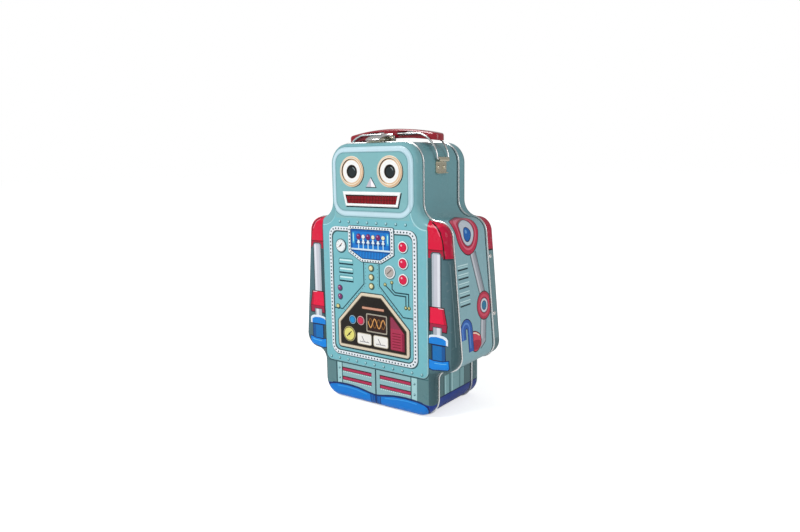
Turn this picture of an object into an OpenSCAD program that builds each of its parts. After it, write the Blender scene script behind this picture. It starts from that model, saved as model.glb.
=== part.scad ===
// Robot-shaped tin carry case: a pressed and printed sheet case with a hinged front lid,
// a snap latch on the head and a low carry handle that rises on two wire bails.
// +Z is up, the robot looks towards -Y, and the origin is on the floor below the middle.

/* [Case] */
// Height of the case, from the floor to the top of the head
case_h = 229.5; // [225:0.5:240]
// Depth of the case, from the foremost relief to the back
case_d = 79.7; // [74:0.1:90]
// Half the width of the head
head_hw = 46.4; // [44:0.1:48]
// Half the width over the legs
leg_hw = 60; // [58:0.5:62]
// Half the width of the arms at their lowest corner
arm_hw = 83.5; // [81:0.5:86]
// Half the width of the arms at the shoulder
shoulder_hw = 73; // [72.8:0.1:74]
// Height of the underside of the arms beside the legs
arm_under_z = 41.5; // [38:0.5:46]
// Height of the shoulders
shoulder_z = 165.5; // [160:0.5:172]

/* [Sheet] */
// Thickness of the tin sheet
sheet = 0.4; // [0.3:0.05:0.5]
// Radius of the pressed edge round the front and back panels
edge_r = 5.6; // [4:0.1:7]
// Height of the belly plate above the arms and legs
plate_step = 0.8; // [0.4:0.1:1.2]
// How far the seam beads stand out
bead = 1; // [0.8:0.1:1.2]
// Depth of the front lid, from its raised plate to its open edge
lid_d = 9.3; // [9:0.1:12]
// Depth of the rear panel, from its seam to the back
rear_d = 15.6; // [12:0.1:18]

/* [Lid hinge] */
// Radius of the hinge pin
pin_r = 0.6; // [0.5:0.05:0.7]
// Outside radius of the rolled knuckles
knuckle_r = 1.2; // [1.1:0.05:1.3]
// Length of one knuckle
knuckle_l = 11.8; // [9:0.1:11.8]
// Angle of the lid, 0 closed
lid_angle = 0; // [0:1:95]

/* [Handle] */
// Half the length of the handle
handle_hl = 47.6; // [46:0.1:54]
// Width of the handle
handle_w = 14; // [12:0.5:15]
// Height of the handle's top at the middle, when it lies low
handle_top = 241.5; // [241:0.1:243]
// Lift of the handle, 0 low
handle_lift = 0; // [0:0.5:16]
// Radius of the bail wire
wire_r = 0.9; // [0.8:0.05:1]

/* [Latch] */
// Half the width of the latch lever
lever_hw = 7.2; // [6:0.1:7.4]
// Angle of the latch lever, 0 closed
lever_angle = 0; // [0:1:70]

/* [Hidden] */
$fn = 32;
eps = 0.01;

teal = "#7fc0c4";
flank_teal = "#55838a";
chrome = "#c8c6bd";
dark_red = "#7a0018";
tin = "#b9b7a8";

// Places from front to back, and how far the printed reliefs stand out
relief = 0.5;
face_y = -case_d / 2 + relief;
panel_y = face_y + plate_step;
hem_y = face_y + lid_d;
hinge_y = hem_y + 0.2;
band_y = hem_y + 0.5;
rear_seam_y = case_d / 2 - rear_d;
back_y = case_d / 2;
bead_w = 1.5;
neck_in = 0.8;
neck_l = 2.3;
hinge_z = knuckle_r;
floor_gap = bead;

// Right half of the outline from the bottom up: x, z and corner radius
half_outline = [[leg_hw, floor_gap, 15.6], [leg_hw, arm_under_z, 9], [arm_hw, arm_under_z + 2.5, 13.5],
                [shoulder_hw, shoulder_z, 13], [head_hw, shoulder_z, 14.5], [head_hw, case_h, 17.6]];
// Right half of the raised belly and face plate
half_plate = [[56, 35.4, 6], [56, shoulder_z - edge_r - 0.5, 1],
              [head_hw - edge_r - 0.5, shoulder_z - edge_r - 0.5, 14],
              [head_hw - edge_r - 0.5, case_h - edge_r - 0.5, 11.5]];
// Right half of the mouth and of the control panel on the belly
half_mouth = [[27.8, 176.8, 1], [30.9, 188.9, 1]];
half_console = [[38.8, 50, 3], [38.8, 74, 3], [11.5, 100.6, 3]];

// Handle and bails
handle_y = -3.3;
grip_t = 0.9;
handle_end_top = 236.2;
handle_bottom = 233.8;
handle_end_bottom = 230.6;
// Right half of the handle seen from above: x, y from its middle and corner radius
half_grip = [[handle_hl, -handle_w / 2, 5], [handle_hl, handle_w / 2, 5]];
leg_y = handle_w / 2 + 1.5;
pivot = [48.9, 215];
barrel_r = 2.1;
barrel_hl = leg_y - wire_r - 0.4;
tip = [8, 237];
bail_path = [pivot, [47.9, 221.5], [44.5, 228.2], [38.5, 233.9], [31, 237], tip];
bail_turn = 26.63 / 16;
slot_x = [tip[0] - wire_r - 0.3, 24];
slot_z = [tip[1] - wire_r - 0.25, tip[1] + wire_r + 1.1];

// Latch
latch_pin_r = 0.9;
lever_axis = [-17.4, 233];
lever_profile = [[-19.6, 232.2], [-19, 235], [-24, 235.8], [-29.5, 235.2], [-33.9, 233.6], [-35.9, 232.6],
                 [-36.1, 231.5], [-35.3, 231.45], [-34.9, 232.2], [-33.4, 232.7], [-29.2, 234.2],
                 [-24, 234.8], [-20.2, 234]];
thumb_profile = [[-17.6, 233.6], [-15.6, 234], [-14.5, 235.6], [-14.1, 237.4], [-14.9, 237.5], [-15.5, 236],
                 [-16.6, 235.1], [-18.2, 235.1]];

function dir(a, b) = (b - a) / norm(b - a);
function left_of(e) = [-e[1], e[0]];
function xy(p) = [p[0], p[1]];
function both_sides(half) = concat(half, [for (i = [len(half) - 1 : -1 : 0]) [-half[i][0], half[i][1], half[i][2]]]);

// One rounded corner at p between a and b, moved inwards by d, as points on its arc
function corner(a, p, b, d, n) =
    let (e0 = dir(a, xy(p)), e1 = dir(xy(p), b), n0 = left_of(e0), n1 = left_of(e1),
         turn = atan2(e0[0] * e1[1] - e0[1] * e1[0], e0 * e1), s = sign(turn),
         q = xy(p) + (n0 + n1) * d / (1 + n0 * n1), r = max(0.05, p[2] - s * d),
         c = q - e0 * r * tan(abs(turn) / 2) + n0 * r * s, start = atan2(-s * n0[1], -s * n0[0]))
    [for (k = [0 : n]) c + r * [cos(start + turn * k / n), sin(start + turn * k / n)]];

// Rounded outline of both sides of a half list, moved inwards by d
function outline(half, d = 0, n = 6) =
    let (v = both_sides(half), m = len(v))
    [for (i = [0 : m - 1]) each corner(xy(v[(i + m - 1) % m]), v[i], xy(v[(i + 1) % m]), d, n)];

// Draws a flat shape, given in x and z, from y0 to y1
module along_y(y0, y1) {
    translate([0, y1, 0]) rotate([90, 0, 0]) linear_extrude(y1 - y0) children();
}

// Draws a flat shape, given in y and z, from x0 to x1
module along_x(x0, x1) {
    translate([x0, 0, 0]) rotate([90, 0, 90]) linear_extrude(x1 - x0) children();
}

module rod_y(x, z, r, y0, y1) {
    translate([x, y1, z]) rotate([90, 0, 0]) cylinder(r = r, h = y1 - y0);
}

module rod_x(y, z, r, x0, x1) {
    translate([x0, y, z]) rotate([0, 90, 0]) cylinder(r = r, h = x1 - x0);
}

// A strip of sheet round the whole outline, between two insets
module ring(d0, d1, y0, y1) {
    along_y(y0, y1) difference() {
        polygon(outline(half_outline, d0));
        polygon(outline(half_outline, d1));
    }
}

// A pressed pan: open at y_open, closed at y_face, with a rounded edge
module pan(y_open, y_face, r, t) {
    s = sign(y_face - y_open);
    steps = 4;
    turns = [for (k = [0 : steps]) k * 90 / steps];
    levels = concat([[y_open, 0]],
                    [for (a = turns) [y_face - s * r * (1 - sin(a)), r * (1 - cos(a))]],
                    [for (i = [steps : -1 : 0]) [y_face - s * (r - (r - t) * sin(turns[i])), r - (r - t) * cos(turns[i])]],
                    [[y_open, t]]);
    n = len(outline(half_outline));
    m = len(levels);
    points = [for (l = levels) each [for (p = outline(half_outline, l[1])) [p[0], l[0], p[1]]]];
    // The two caps are the panel's outside and inside
    outer_cap = steps + 1;
    inner_cap = steps + 2;
    side = [for (j = [0 : m - 1]) if (j != outer_cap) each [for (i = [0 : n - 1])
        let (a = j * n + i, b = j * n + (i + 1) % n, c = ((j + 1) % m) * n + i, e = ((j + 1) % m) * n + (i + 1) % n)
        each s < 0 ? [[a, c, b], [b, c, e]] : [[a, b, c], [b, e, c]]]];
    // The outline is symmetric, so each cap is a strip of triangles from its right side to its left
    strip = [for (i = [0 : n / 2 - 2]) each [[i, i + 1, n - 2 - i], [i, n - 2 - i, n - 1 - i]]];
    cap = function (k) [for (t = strip) [for (i = t) i + k * n]];
    back_cap = function (k) [for (t = strip) [for (i = [2 : -1 : 0]) t[i] + k * n]];
    polyhedron(points, concat(side, s < 0 ? concat(back_cap(outer_cap), cap(inner_cap))
                                          : concat(cap(outer_cap), back_cap(inner_cap))), convexity = 6);
}

// A flat shape pressed out of the front panel by the given step
module pressed(y, step) {
    along_y(y - step, y + eps) children();
}

// Turns with the lid about the hinge pin
module on_lid() {
    translate([0, hinge_y, hinge_z]) rotate([lid_angle, 0, 0]) translate([0, -hinge_y, -hinge_z]) children();
}

// Space left free round the hinge along the bottom edge
module hinge_notch() {
    hl = 2.5 * knuckle_l + 1.1;
    translate([-hl, hinge_y - 1.5, -1]) cube([2 * hl, 3.3, 5.5]);
}

module front_lid() {
    color(teal) on_lid() difference() {
        union() {
            pan(hem_y, panel_y, edge_r, sheet);
            pressed(panel_y, plate_step) polygon(outline(half_plate));
            for (s = [-1, 1]) rod_y(20.2 * s, 205.8, 13.4, face_y - relief, face_y + eps);
            pressed(face_y, relief) polygon(outline(half_mouth));
            pressed(face_y, relief) polygon(outline(half_console));
        }
        along_y(face_y + sheet, panel_y + sheet + eps) polygon(outline(half_plate, sheet));
        hinge_notch();
        for (s = [-1, 1]) translate([7.7 * s, hem_y - 1.7, case_h - 2]) cylinder(r = 0.62, h = 4);
    }
}

// Rolled knuckles with their leaf under the sheet, at the given middles along the pin
module knuckles(middles, leaf_y) {
    for (x = middles) translate([x, 0, 0]) difference() {
        union() {
            rod_x(hinge_y, hinge_z, knuckle_r, -knuckle_l / 2, knuckle_l / 2);
            translate([-knuckle_l / 2, min(hinge_y, leaf_y), floor_gap - 0.5])
                cube([knuckle_l, abs(leaf_y - hinge_y), 0.5]);
        }
        rod_x(hinge_y, hinge_z, pin_r + 0.07, -knuckle_l, knuckle_l);
    }
}

module lid_knuckles() {
    pitch = knuckle_l + 0.2;
    color(tin) on_lid() knuckles([-pitch, pitch], hinge_y - 3.9);
}

module band_knuckles() {
    pitch = 2 * (knuckle_l + 0.2);
    color(tin) knuckles([-pitch, 0, pitch], hinge_y + 7);
}

module hinge_pin() {
    color(chrome) rod_x(hinge_y, hinge_z, pin_r, -2.5 * knuckle_l - 0.6, 2.5 * knuckle_l + 0.6);
}

// Strip on top of the lid with the ridge that the latch lever snaps over
module latch_keeper() {
    color(chrome) on_lid() difference() {
        union() {
            translate([-9, hem_y - 3, case_h]) cube([18, 2.6, 0.6]);
            rod_x(hem_y - 2.6, case_h + 0.9, 0.8, -6, 6);
        }
        for (s = [-1, 1]) translate([7.7 * s, hem_y - 1.7, case_h - 2]) cylinder(r = 0.62, h = 4);
    }
}

// A rivet that stands along +Z: head on top of a stack of the given thickness, tail below it
module rivet(head_r, shank_r, grip, tail = 0.5) {
    cylinder(r = shank_r, h = grip + 0.02);
    translate([0, 0, grip]) cylinder(r1 = head_r, r2 = head_r * 0.6, h = head_r * 0.5);
    translate([0, 0, -tail]) cylinder(r = shank_r * 1.4, h = tail);
}

module keeper_rivets() {
    color(chrome) on_lid() for (s = [-1, 1])
        translate([7.7 * s, hem_y - 1.7, case_h - sheet]) rivet(1.1, 0.6, sheet + 0.6, 0.2);
}

module side_band() {
    color(flank_teal) difference() {
        union() {
            ring(0, sheet, band_y, rear_seam_y + 0.8);
            ring(-bead, eps, band_y, band_y + bead_w);
            ring(eps, neck_in + sheet, band_y + 0.5, band_y + 0.9);
            ring(neck_in, neck_in + sheet, band_y - neck_l, band_y + 0.9);
        }
        hinge_notch();
        for (s = [-1, 1]) {
            for (k = [-1, 1]) rod_x(handle_y + 4.5 * k, 208.6, 1.05, head_hw * s - 2, head_hw * s + 2);
            translate([5 * s, -24.4, case_h - 2]) cylinder(r = 0.85, h = 4);
        }
    }
}

module rear_pan() {
    color(flank_teal) difference() {
        union() {
            pan(rear_seam_y + 0.8, back_y, edge_r, sheet);
            ring(-bead, 0, rear_seam_y - 0.3, rear_seam_y + 0.8);
            ring(-bead, eps, rear_seam_y + 0.8 - eps, rear_seam_y + 1.7);
        }
        for (s = [-1, 1]) on_arm(s) for (z = stud_z) translate([0, 0, z]) rod_x(0, 0, 1.05, -3, 3);
    }
}

// Heights of the two studs along the arm, and the place on the arm's side where they stand
stud_z = [81.6, 132];
stud_y = 29.4;
arm_lean = atan((arm_hw - shoulder_hw) / (shoulder_z - arm_under_z - 2.5));

// Puts its children on the leaning side of the arm: x outwards from the sheet, z along the arm
module on_arm(s) {
    mirror([s < 0 ? 1 : 0, 0, 0]) translate([arm_hw, stud_y, arm_under_z + 2.5])
        rotate([0, -arm_lean, 0]) translate([0, 0, -arm_under_z - 2.5]) children();
}

module flank_studs(s) {
    color(chrome) on_arm(s) for (z = stud_z)
        translate([-sheet, 0, z]) rotate([0, 90, 0]) rivet(2, 1, sheet);
}

module flank_studs_left() { flank_studs(-1); }

module flank_studs_right() { flank_studs(1); }

// Plate riveted to the top of the head, with an ear each side for the latch pin
module latch_base() {
    color(chrome) difference() {
        union() {
            translate([-9.2, -26.6, case_h]) cube([18.4, 12.4, 0.6]);
            for (s = [-1, 1]) along_x(s > 0 ? 8.2 : -9.2, s > 0 ? 9.2 : -8.2) {
                translate([lever_axis[0] - 2.6, case_h]) square([5.2, 3.5]);
                translate(lever_axis) circle(r = 2.6);
            }
        }
        rod_x(lever_axis[0], lever_axis[1], latch_pin_r + 0.05, -12, 12);
        for (s = [-1, 1]) translate([5 * s, -24.4, case_h - 2]) cylinder(r = 0.85, h = 4);
    }
}

module latch_base_rivets() {
    color(chrome) for (s = [-1, 1]) translate([5 * s, -24.4, case_h - sheet]) rivet(1.5, 0.8, sheet + 0.6);
}

module latch_pin() {
    color(chrome) {
        rod_x(lever_axis[0], lever_axis[1], latch_pin_r, -9.9, 9.9);
        for (s = [-1, 1]) rod_x(lever_axis[0], lever_axis[1], 1.5, s > 0 ? 9.25 : -10, s > 0 ? 10 : -9.25);
    }
}

// Sprung lever: barrel on the pin, thumb tab behind, curved top and hooked lip in front
module latch_lever() {
    color(chrome) translate([0, lever_axis[0], lever_axis[1]]) rotate([-lever_angle, 0, 0])
        translate([0, -lever_axis[0], -lever_axis[1]]) difference() {
            union() {
                rod_x(lever_axis[0], lever_axis[1], 2.2, -lever_hw, lever_hw);
                along_x(-lever_hw, lever_hw) polygon(lever_profile);
                along_x(-lever_hw + 1.5, lever_hw - 1.5) polygon(thumb_profile);
            }
            rod_x(lever_axis[0], lever_axis[1], latch_pin_r + 0.07, -12, 12);
        }
}

// Plate on the side of the head, rolled into a barrel at its top for the bail
module bracket(s) {
    w = handle_w / 2 + 1;
    color(chrome) mirror([s < 0 ? 1 : 0, 0, 0]) translate([0, handle_y, 0]) difference() {
        union() {
            translate([head_hw, -w, 203.5]) cube([0.8, 2 * w, 9.4]);
            translate([head_hw, -barrel_hl, 212.2]) cube([1.7, 2 * barrel_hl, 2.2]);
            rod_y(pivot[0], pivot[1], barrel_r, -barrel_hl, barrel_hl);
            translate([head_hw, -w, 203.5]) cube([2.6, 2 * w, 0.8]);
        }
        rod_y(pivot[0], pivot[1], wire_r + 0.09, -12, 12);
        for (k = [-1, 1]) rod_x(4.5 * k, 208.6, 1.05, head_hw - 1, head_hw + 2);
    }
}

module bracket_left() { bracket(-1); }

module bracket_right() { bracket(1); }

module bracket_rivets(s) {
    color(chrome) mirror([s < 0 ? 1 : 0, 0, 0]) for (k = [-1, 1])
        translate([head_hw - sheet, handle_y + 4.5 * k, 208.6]) rotate([0, 90, 0]) rivet(1.8, 1, sheet + 0.8);
}

module bracket_rivets_left() { bracket_rivets(-1); }

module bracket_rivets_right() { bracket_rivets(1); }

// Points of a shallow arch: height mid_z at the middle and end_z at both ends
function arch(hl, mid_z, end_z, n = 16) =
    let (rise = mid_z - end_z, r = (hl * hl + rise * rise) / (2 * rise), a = asin(hl / r))
    [for (k = [0 : n]) let (t = a - 2 * a * k / n) [r * sin(t), mid_z - r + r * cos(t)]];

function reversed(v) = [for (i = [len(v) - 1 : -1 : 0]) v[i]];

// Rounded slot through both cheeks, where one bail's bent tips slide
module cheek_slot(s) {
    r = (slot_z[1] - slot_z[0]) / 2;
    z = (slot_z[0] + slot_z[1]) / 2;
    mirror([s < 0 ? 1 : 0, 0, 0]) {
        for (x = [slot_x[0] + r, slot_x[1] - r]) rod_y(x, z, r, handle_y - 12, handle_y + 12);
        translate([slot_x[0] + r, handle_y - 12, slot_z[0]]) cube([slot_x[1] - slot_x[0] - 2 * r, 24, 2 * r]);
    }
}

// Handle's plan, moved inwards by d, as a tall block
module grip_plan(d) {
    translate([0, handle_y, 220]) linear_extrude(30) polygon(outline(half_grip, d));
}

// Arched channel with closed round ends, open below
module handle_grip() {
    top = arch(handle_hl, handle_top, handle_end_top);
    bottom = reversed(arch(handle_hl, handle_bottom, handle_end_bottom));
    color(dark_red) translate([0, 0, handle_lift]) difference() {
        intersection() {
            along_y(handle_y - handle_w, handle_y + handle_w) polygon(concat(top, bottom));
            grip_plan(0);
        }
        intersection() {
            along_y(handle_y - handle_w, handle_y + handle_w)
                polygon(concat([for (p = top) [p[0], p[1] - grip_t]], [[-handle_hl, 225], [handle_hl, 225]]));
            grip_plan(grip_t);
        }
        for (s = [-1, 1]) cheek_slot(s);
    }
}

// One leg of a bail: wire swept along its path in the plane y
module bail_leg(y, sides = 8) {
    m = len(bail_path);
    points = [for (i = [0 : m - 1])
        let (t = dir(bail_path[max(i - 1, 0)], bail_path[min(i + 1, m - 1)]), p = bail_path[i])
        for (j = [0 : sides - 1]) let (a = 360 * j / sides)
            [p[0] - t[1] * wire_r * cos(a), y + wire_r * sin(a), p[1] + t[0] * wire_r * cos(a)]];
    side = [for (i = [0 : m - 2]) for (j = [0 : sides - 1])
        let (a = i * sides + j, b = i * sides + (j + 1) % sides) each [[a, b, a + sides], [b, b + sides, a + sides]]];
    start = [for (j = [sides - 1 : -1 : 0]) j];
    end = [for (j = [0 : sides - 1]) (m - 1) * sides + j];
    polyhedron(points, concat(side, [start, end]), convexity = 4);
}

// Wire bail: a bar through the bracket, two legs, and tips bent into the handle's slots
module bail(s) {
    over = wire_r * 0.7;
    color(chrome) mirror([s < 0 ? 1 : 0, 0, 0]) translate([pivot[0], handle_y, pivot[1]])
        rotate([0, handle_lift * bail_turn, 0]) translate([-pivot[0], 0, -pivot[1]]) {
            rod_y(pivot[0], pivot[1], wire_r, -leg_y - over, leg_y + over);
            for (k = [-1, 1]) {
                bail_leg(k * leg_y);
                rod_y(tip[0], tip[1], wire_r, min(k * (leg_y - 4), k * (leg_y + over)),
                      max(k * (leg_y - 4), k * (leg_y + over)));
            }
        }
}

module bail_left() { bail(-1); }

module bail_right() { bail(1); }

front_lid();
lid_knuckles();
latch_keeper();
keeper_rivets();
side_band();
rear_pan();
band_knuckles();
hinge_pin();
latch_base();
latch_base_rivets();
latch_pin();
latch_lever();
bracket_left();
bracket_right();
bracket_rivets_left();
bracket_rivets_right();
flank_studs_left();
flank_studs_right();
handle_grip();
bail_left();
bail_right();
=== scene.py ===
import math

import bmesh
import bpy
import numpy as np
from mathutils import Matrix, Vector
from mathutils.geometry import delaunay_2d_cdt


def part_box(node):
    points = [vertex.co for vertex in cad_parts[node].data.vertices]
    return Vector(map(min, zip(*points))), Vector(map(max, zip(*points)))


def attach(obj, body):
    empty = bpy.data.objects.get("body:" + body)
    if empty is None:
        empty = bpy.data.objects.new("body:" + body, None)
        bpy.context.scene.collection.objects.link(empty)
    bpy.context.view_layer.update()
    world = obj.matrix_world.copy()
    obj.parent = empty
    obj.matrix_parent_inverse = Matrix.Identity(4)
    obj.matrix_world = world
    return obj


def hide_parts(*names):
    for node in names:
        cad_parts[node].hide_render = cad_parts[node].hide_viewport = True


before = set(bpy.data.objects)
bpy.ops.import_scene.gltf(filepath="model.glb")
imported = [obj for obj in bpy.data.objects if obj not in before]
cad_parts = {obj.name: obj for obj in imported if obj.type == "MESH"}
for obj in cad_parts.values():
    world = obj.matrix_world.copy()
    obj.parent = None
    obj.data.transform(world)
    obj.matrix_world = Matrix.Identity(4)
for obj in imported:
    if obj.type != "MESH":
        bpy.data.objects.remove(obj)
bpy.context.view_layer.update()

MM = 0.001
QUARTER = math.pi / 2


def span(node):
    """Lowest and highest corner of a CAD node, in millimetres."""
    low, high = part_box(node)
    return np.array(low) / MM, np.array(high) / MM


# ---------------------------------------------------------------- dimensions, mm
LID_LOW, LID_HIGH = span("front_lid")
BAND_LOW, BAND_HIGH = span("side_band")
BACK_Y = span("rear_pan")[1][1]
CASE_TOP = LID_HIGH[2]
HEM_Y = LID_HIGH[1]
SEAM_Y = BAND_HIGH[1]

# The sheet, and how far its reliefs stand proud
SHEET = 0.4
RELIEF = 0.5
STEP = 0.8
FACE_Y = LID_LOW[1] + RELIEF
PANEL_Y = FACE_Y + STEP

# Rounding between a panel and its flank. Depths count inwards from the outline, and are negative past it
EDGE_R = 5.6
ARC_LENGTH = EDGE_R * QUARTER
TURN_D = EDGE_R - ARC_LENGTH
HEM_D = TURN_D - (HEM_Y - PANEL_Y - EDGE_R)

# Seams and hinge
BAND_Y = HEM_Y + 0.5
BEAD_R = 1.0
BEAD_WIDTH = 1.1
NECK_IN = 1.0
HINGE_Y = HEM_Y + 0.2
HINGE_HALF = 30.6

HEAD_HALF = 46.4
BEVELLED = math.radians(40)
SHARP = math.radians(32)
FINE_TURN = 0.12

HALF_CASE = [(60, 1, 15.6), (60, 41.5, 9), (83.5, 44, 13.5), (73, 165.5, 13),
             (HEAD_HALF, 165.5, 14.5), (HEAD_HALF, CASE_TOP, 17.6)]
HALF_PLATE = [(56, 35.4, 6), (56, 159.4, 1), (40.3, 159.4, 14), (40.3, 223.4, 11.5)]


# ---------------------------------------------------------------- outlines
def mirrored(half):
    return list(half) + [(-x, z, r) for x, z, r in reversed(half)]


class Outline:
    """Closed outline of straight sides and round corners, given anticlockwise as x, z, radius."""

    def __init__(self, corners):
        points = np.array([c[:2] for c in corners], float)
        count = len(points)
        along = np.roll(points, -1, 0) - points
        along /= np.linalg.norm(along, axis=1)[:, None]
        self.arcs = []
        for i in range(count):
            before, after = along[i - 1], along[i]
            turn = math.atan2(before[0] * after[1] - before[1] * after[0], before @ after)
            sign = np.sign(turn)
            left = np.array([-before[1], before[0]])
            radius = corners[i][2]
            centre = points[i] - before * radius * math.tan(abs(turn) / 2) + left * radius * sign
            self.arcs.append((centre, radius, sign, math.atan2(-sign * left[1], -sign * left[0]), turn))
        self.parts = []
        place = 0.0
        for i in range(count):
            centre, radius, sign, start, turn = self.arcs[i]
            self.parts.append(("arc", place, radius * abs(turn), i))
            place += radius * abs(turn)
            here = centre + radius * np.array([math.cos(start + turn), math.sin(start + turn)])
            centre, radius, _, start, _ = self.arcs[(i + 1) % count]
            there = centre + radius * np.array([math.cos(start), math.sin(start)])
            length = np.linalg.norm(there - here)
            self.parts.append(("line", place, length, (here, (there - here) / max(length, 1e-9))))
            place += length
        self.length = place

    def at(self, s):
        """Points at arc lengths s, and the outward normals there."""
        s = np.asarray(s, float) % self.length
        points = np.zeros(s.shape + (2,))
        normals = np.zeros_like(points)
        for kind, place, length, data in self.parts:
            here = (s >= place) & (s <= place + length + 1e-9)
            if kind == "line":
                points[here] = data[0] + (s[here] - place)[:, None] * data[1]
                normals[here] = [data[1][1], -data[1][0]]
            else:
                centre, radius, sign, start, turn = self.arcs[data]
                angle = start + turn * (s[here] - place) / length
                unit = np.stack([np.cos(angle), np.sin(angle)], -1)
                points[here] = centre + radius * unit
                normals[here] = sign * unit
        return points, normals

    def locate(self, points):
        """Distance inside the outline for each point, and the outward normal of the nearest place."""
        depth = np.full(len(points), 1e9)
        normals = np.zeros_like(points)
        for kind, _, length, data in self.parts:
            if kind == "line":
                origin, unit = data
                away = points - origin
                t = away @ unit
                q = away @ np.array([-unit[1], unit[0]])
                near = (t >= -1e-6) & (t <= length + 1e-6) & (abs(q) < abs(depth))
                depth[near] = q[near]
                normals[near] = [unit[1], -unit[0]]
            else:
                centre, radius, sign, start, turn = self.arcs[data]
                away = points - centre
                reach = np.hypot(*away.T)
                angle = (np.arctan2(away[:, 1], away[:, 0]) - start) * sign
                angle = (angle + 1e-6) % (2 * math.pi) - 1e-6
                q = sign * (radius - reach)
                near = (angle <= abs(turn) + 1e-6) & (abs(q) < abs(depth))
                depth[near] = q[near]
                normals[near] = (sign * away / np.maximum(reach, 1e-9)[:, None])[near]
        return depth, normals

    def depth(self, points):
        return self.locate(points)[0]

    def stations(self, step=5.0, turn_step=0.2):
        """Arc lengths that follow every corner and side closely enough."""
        places = []
        for kind, place, length, data in self.parts:
            if length < 1e-6:
                continue
            if kind == "arc":
                count = max(2, math.ceil(abs(self.arcs[data][4]) / turn_step))
            else:
                count = max(1, math.ceil(length / step))
            places += [place + length * k / count for k in range(count)]
        return np.array(places)

    def loop(self, d=0.0, step=5.0, turn_step=0.2):
        """The outline moved inwards by d."""
        points, normals = self.at(self.stations(step, turn_step))
        return points - normals * d

    def spaced(self, pitch):
        """Points about pitch apart all round."""
        count = round(self.length / pitch)
        return self.at(np.arange(count) * self.length / count)[0]


class Disc:
    """A round shape that answers like an Outline."""

    def __init__(self, x, z, r):
        self.centre = np.array([x, z], float)
        self.radius = r

    def depth(self, points):
        return self.radius - np.hypot(*(points - self.centre).T)

    def loop(self, d=0.0):
        return disc(*self.centre, self.radius - d)


def frame_of(x0, x1, z0, z1, r):
    """Rectangle with round corners."""
    return Outline([(x0, z0, r), (x1, z0, r), (x1, z1, r), (x0, z1, r)])


def disc(x, z, r, count=None):
    count = count or int(min(40, max(8, 7 + 5 * r)))
    a = 2 * math.pi * np.arange(count) / count
    return np.stack([x + r * np.cos(a), z + r * np.sin(a)], 1)


def bar(x0, x1, z0, z1):
    return np.array([(x0, z0), (x1, z0), (x1, z1), (x0, z1)], float)


def poly(*points):
    return np.array(points, float)


def stroke(points, width):
    """Outline of a line of the given width through the points."""
    points = np.array(points, float)
    along = np.diff(points, axis=0)
    along /= np.linalg.norm(along, axis=1)[:, None]
    side = np.stack([-along[:, 1], along[:, 0]], 1)
    joint = np.vstack([side[:1], side[:-1] + side[1:], side[-1:]])
    joint /= (joint * np.vstack([side[:1], side])).sum(1)[:, None]
    return np.vstack([points + joint * width / 2, (points - joint * width / 2)[::-1]])


CASE = Outline(mirrored(HALF_CASE))
PLATE = Outline(mirrored(HALF_PLATE))

# The side strip is cut at the middle of the underside, so arc lengths start half the flat floor before it
HALF_FLOOR = HALF_CASE[0][0] - HALF_CASE[0][2]
START = -HALF_FLOOR
END = CASE.length - HALF_FLOOR
LIP_START = START + HINGE_HALF
LIP_END = END - HINGE_HALF


# ---------------------------------------------------------------- inks
# What the lacquer's own gloss adds to every ink, taken off beforehand so that dark inks stay dark
LACQUER = 0.02


def linear(colour):
    """Linear red, green and blue of a #rrggbb colour."""
    c = np.array([int(colour[i:i + 2], 16) for i in (1, 3, 5)]) / 255
    return np.where(c <= 0.04045, c / 12.92, ((c + 0.055) / 1.055) ** 2.4)


def eased(share):
    """Smooth step from 0 to 1."""
    t = np.clip(share, 0, 1)
    return t * t * (3 - 2 * t)


def inside(points, loop):
    """Which points lie in the loop, by the crossings of a level line."""
    x, z = points[:, :1], points[:, 1:]
    a, b = loop, np.roll(loop, -1, 0)
    spans = (a[:, 1] > z) != (b[:, 1] > z)
    rise = b[:, 1] - a[:, 1]
    t = (z - a[:, 1]) / np.where(abs(rise) < 1e-12, 1e-12, rise)
    return (spans & (x < a[:, 0] + t * (b[:, 0] - a[:, 0]))).sum(1) % 2 == 1


class Art:
    """Inks printed over each other on one flat sheet, and the reliefs pressed into it."""

    def __init__(self, ground, gain=1.0):
        self.gain = gain
        self.ground = linear(ground) * gain
        self.inks = []
        self.presses = []
        self.creases = []

    def ink(self, colour, *loops):
        """Prints the inside of each loop over what is there."""
        self.inks.append((linear(colour) * self.gain, loops))

    def stack(self, shape, *layers):
        """Prints the shape again and again, moved inwards by each layer's depth."""
        for depth, colour in layers:
            self.ink(colour, shape.loop(depth))

    def press(self, shape, height, width):
        """Raises the inside of shape by height, over an edge of the given width."""
        self.presses.append((shape, height, width))
        self.creases += [shape.loop(d) for d in (0, width / 2, width)]

    def ridge(self, outer, inner, height, width):
        """Raises what lies between two shapes."""
        self.press(outer, height, width)
        self.press(inner, -height, -width)

    def height(self, points):
        total = np.zeros(len(points))
        for shape, height, width in self.presses:
            share = shape.depth(points) / width
            total += height * eased(share if width > 0 else 1 - share)
        return total

    def colours(self, middles):
        result = np.tile(self.ground, (len(middles), 1))
        for colour, loops in self.inks:
            for loop in loops:
                low, high = loop.min(0), loop.max(0)
                near = np.flatnonzero(((middles >= low) & (middles <= high)).all(1))
                if len(near):
                    result[near[inside(middles[near], loop)]] = colour
        return np.clip((result - LACQUER) / (1 - LACQUER), 0, 1)


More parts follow.
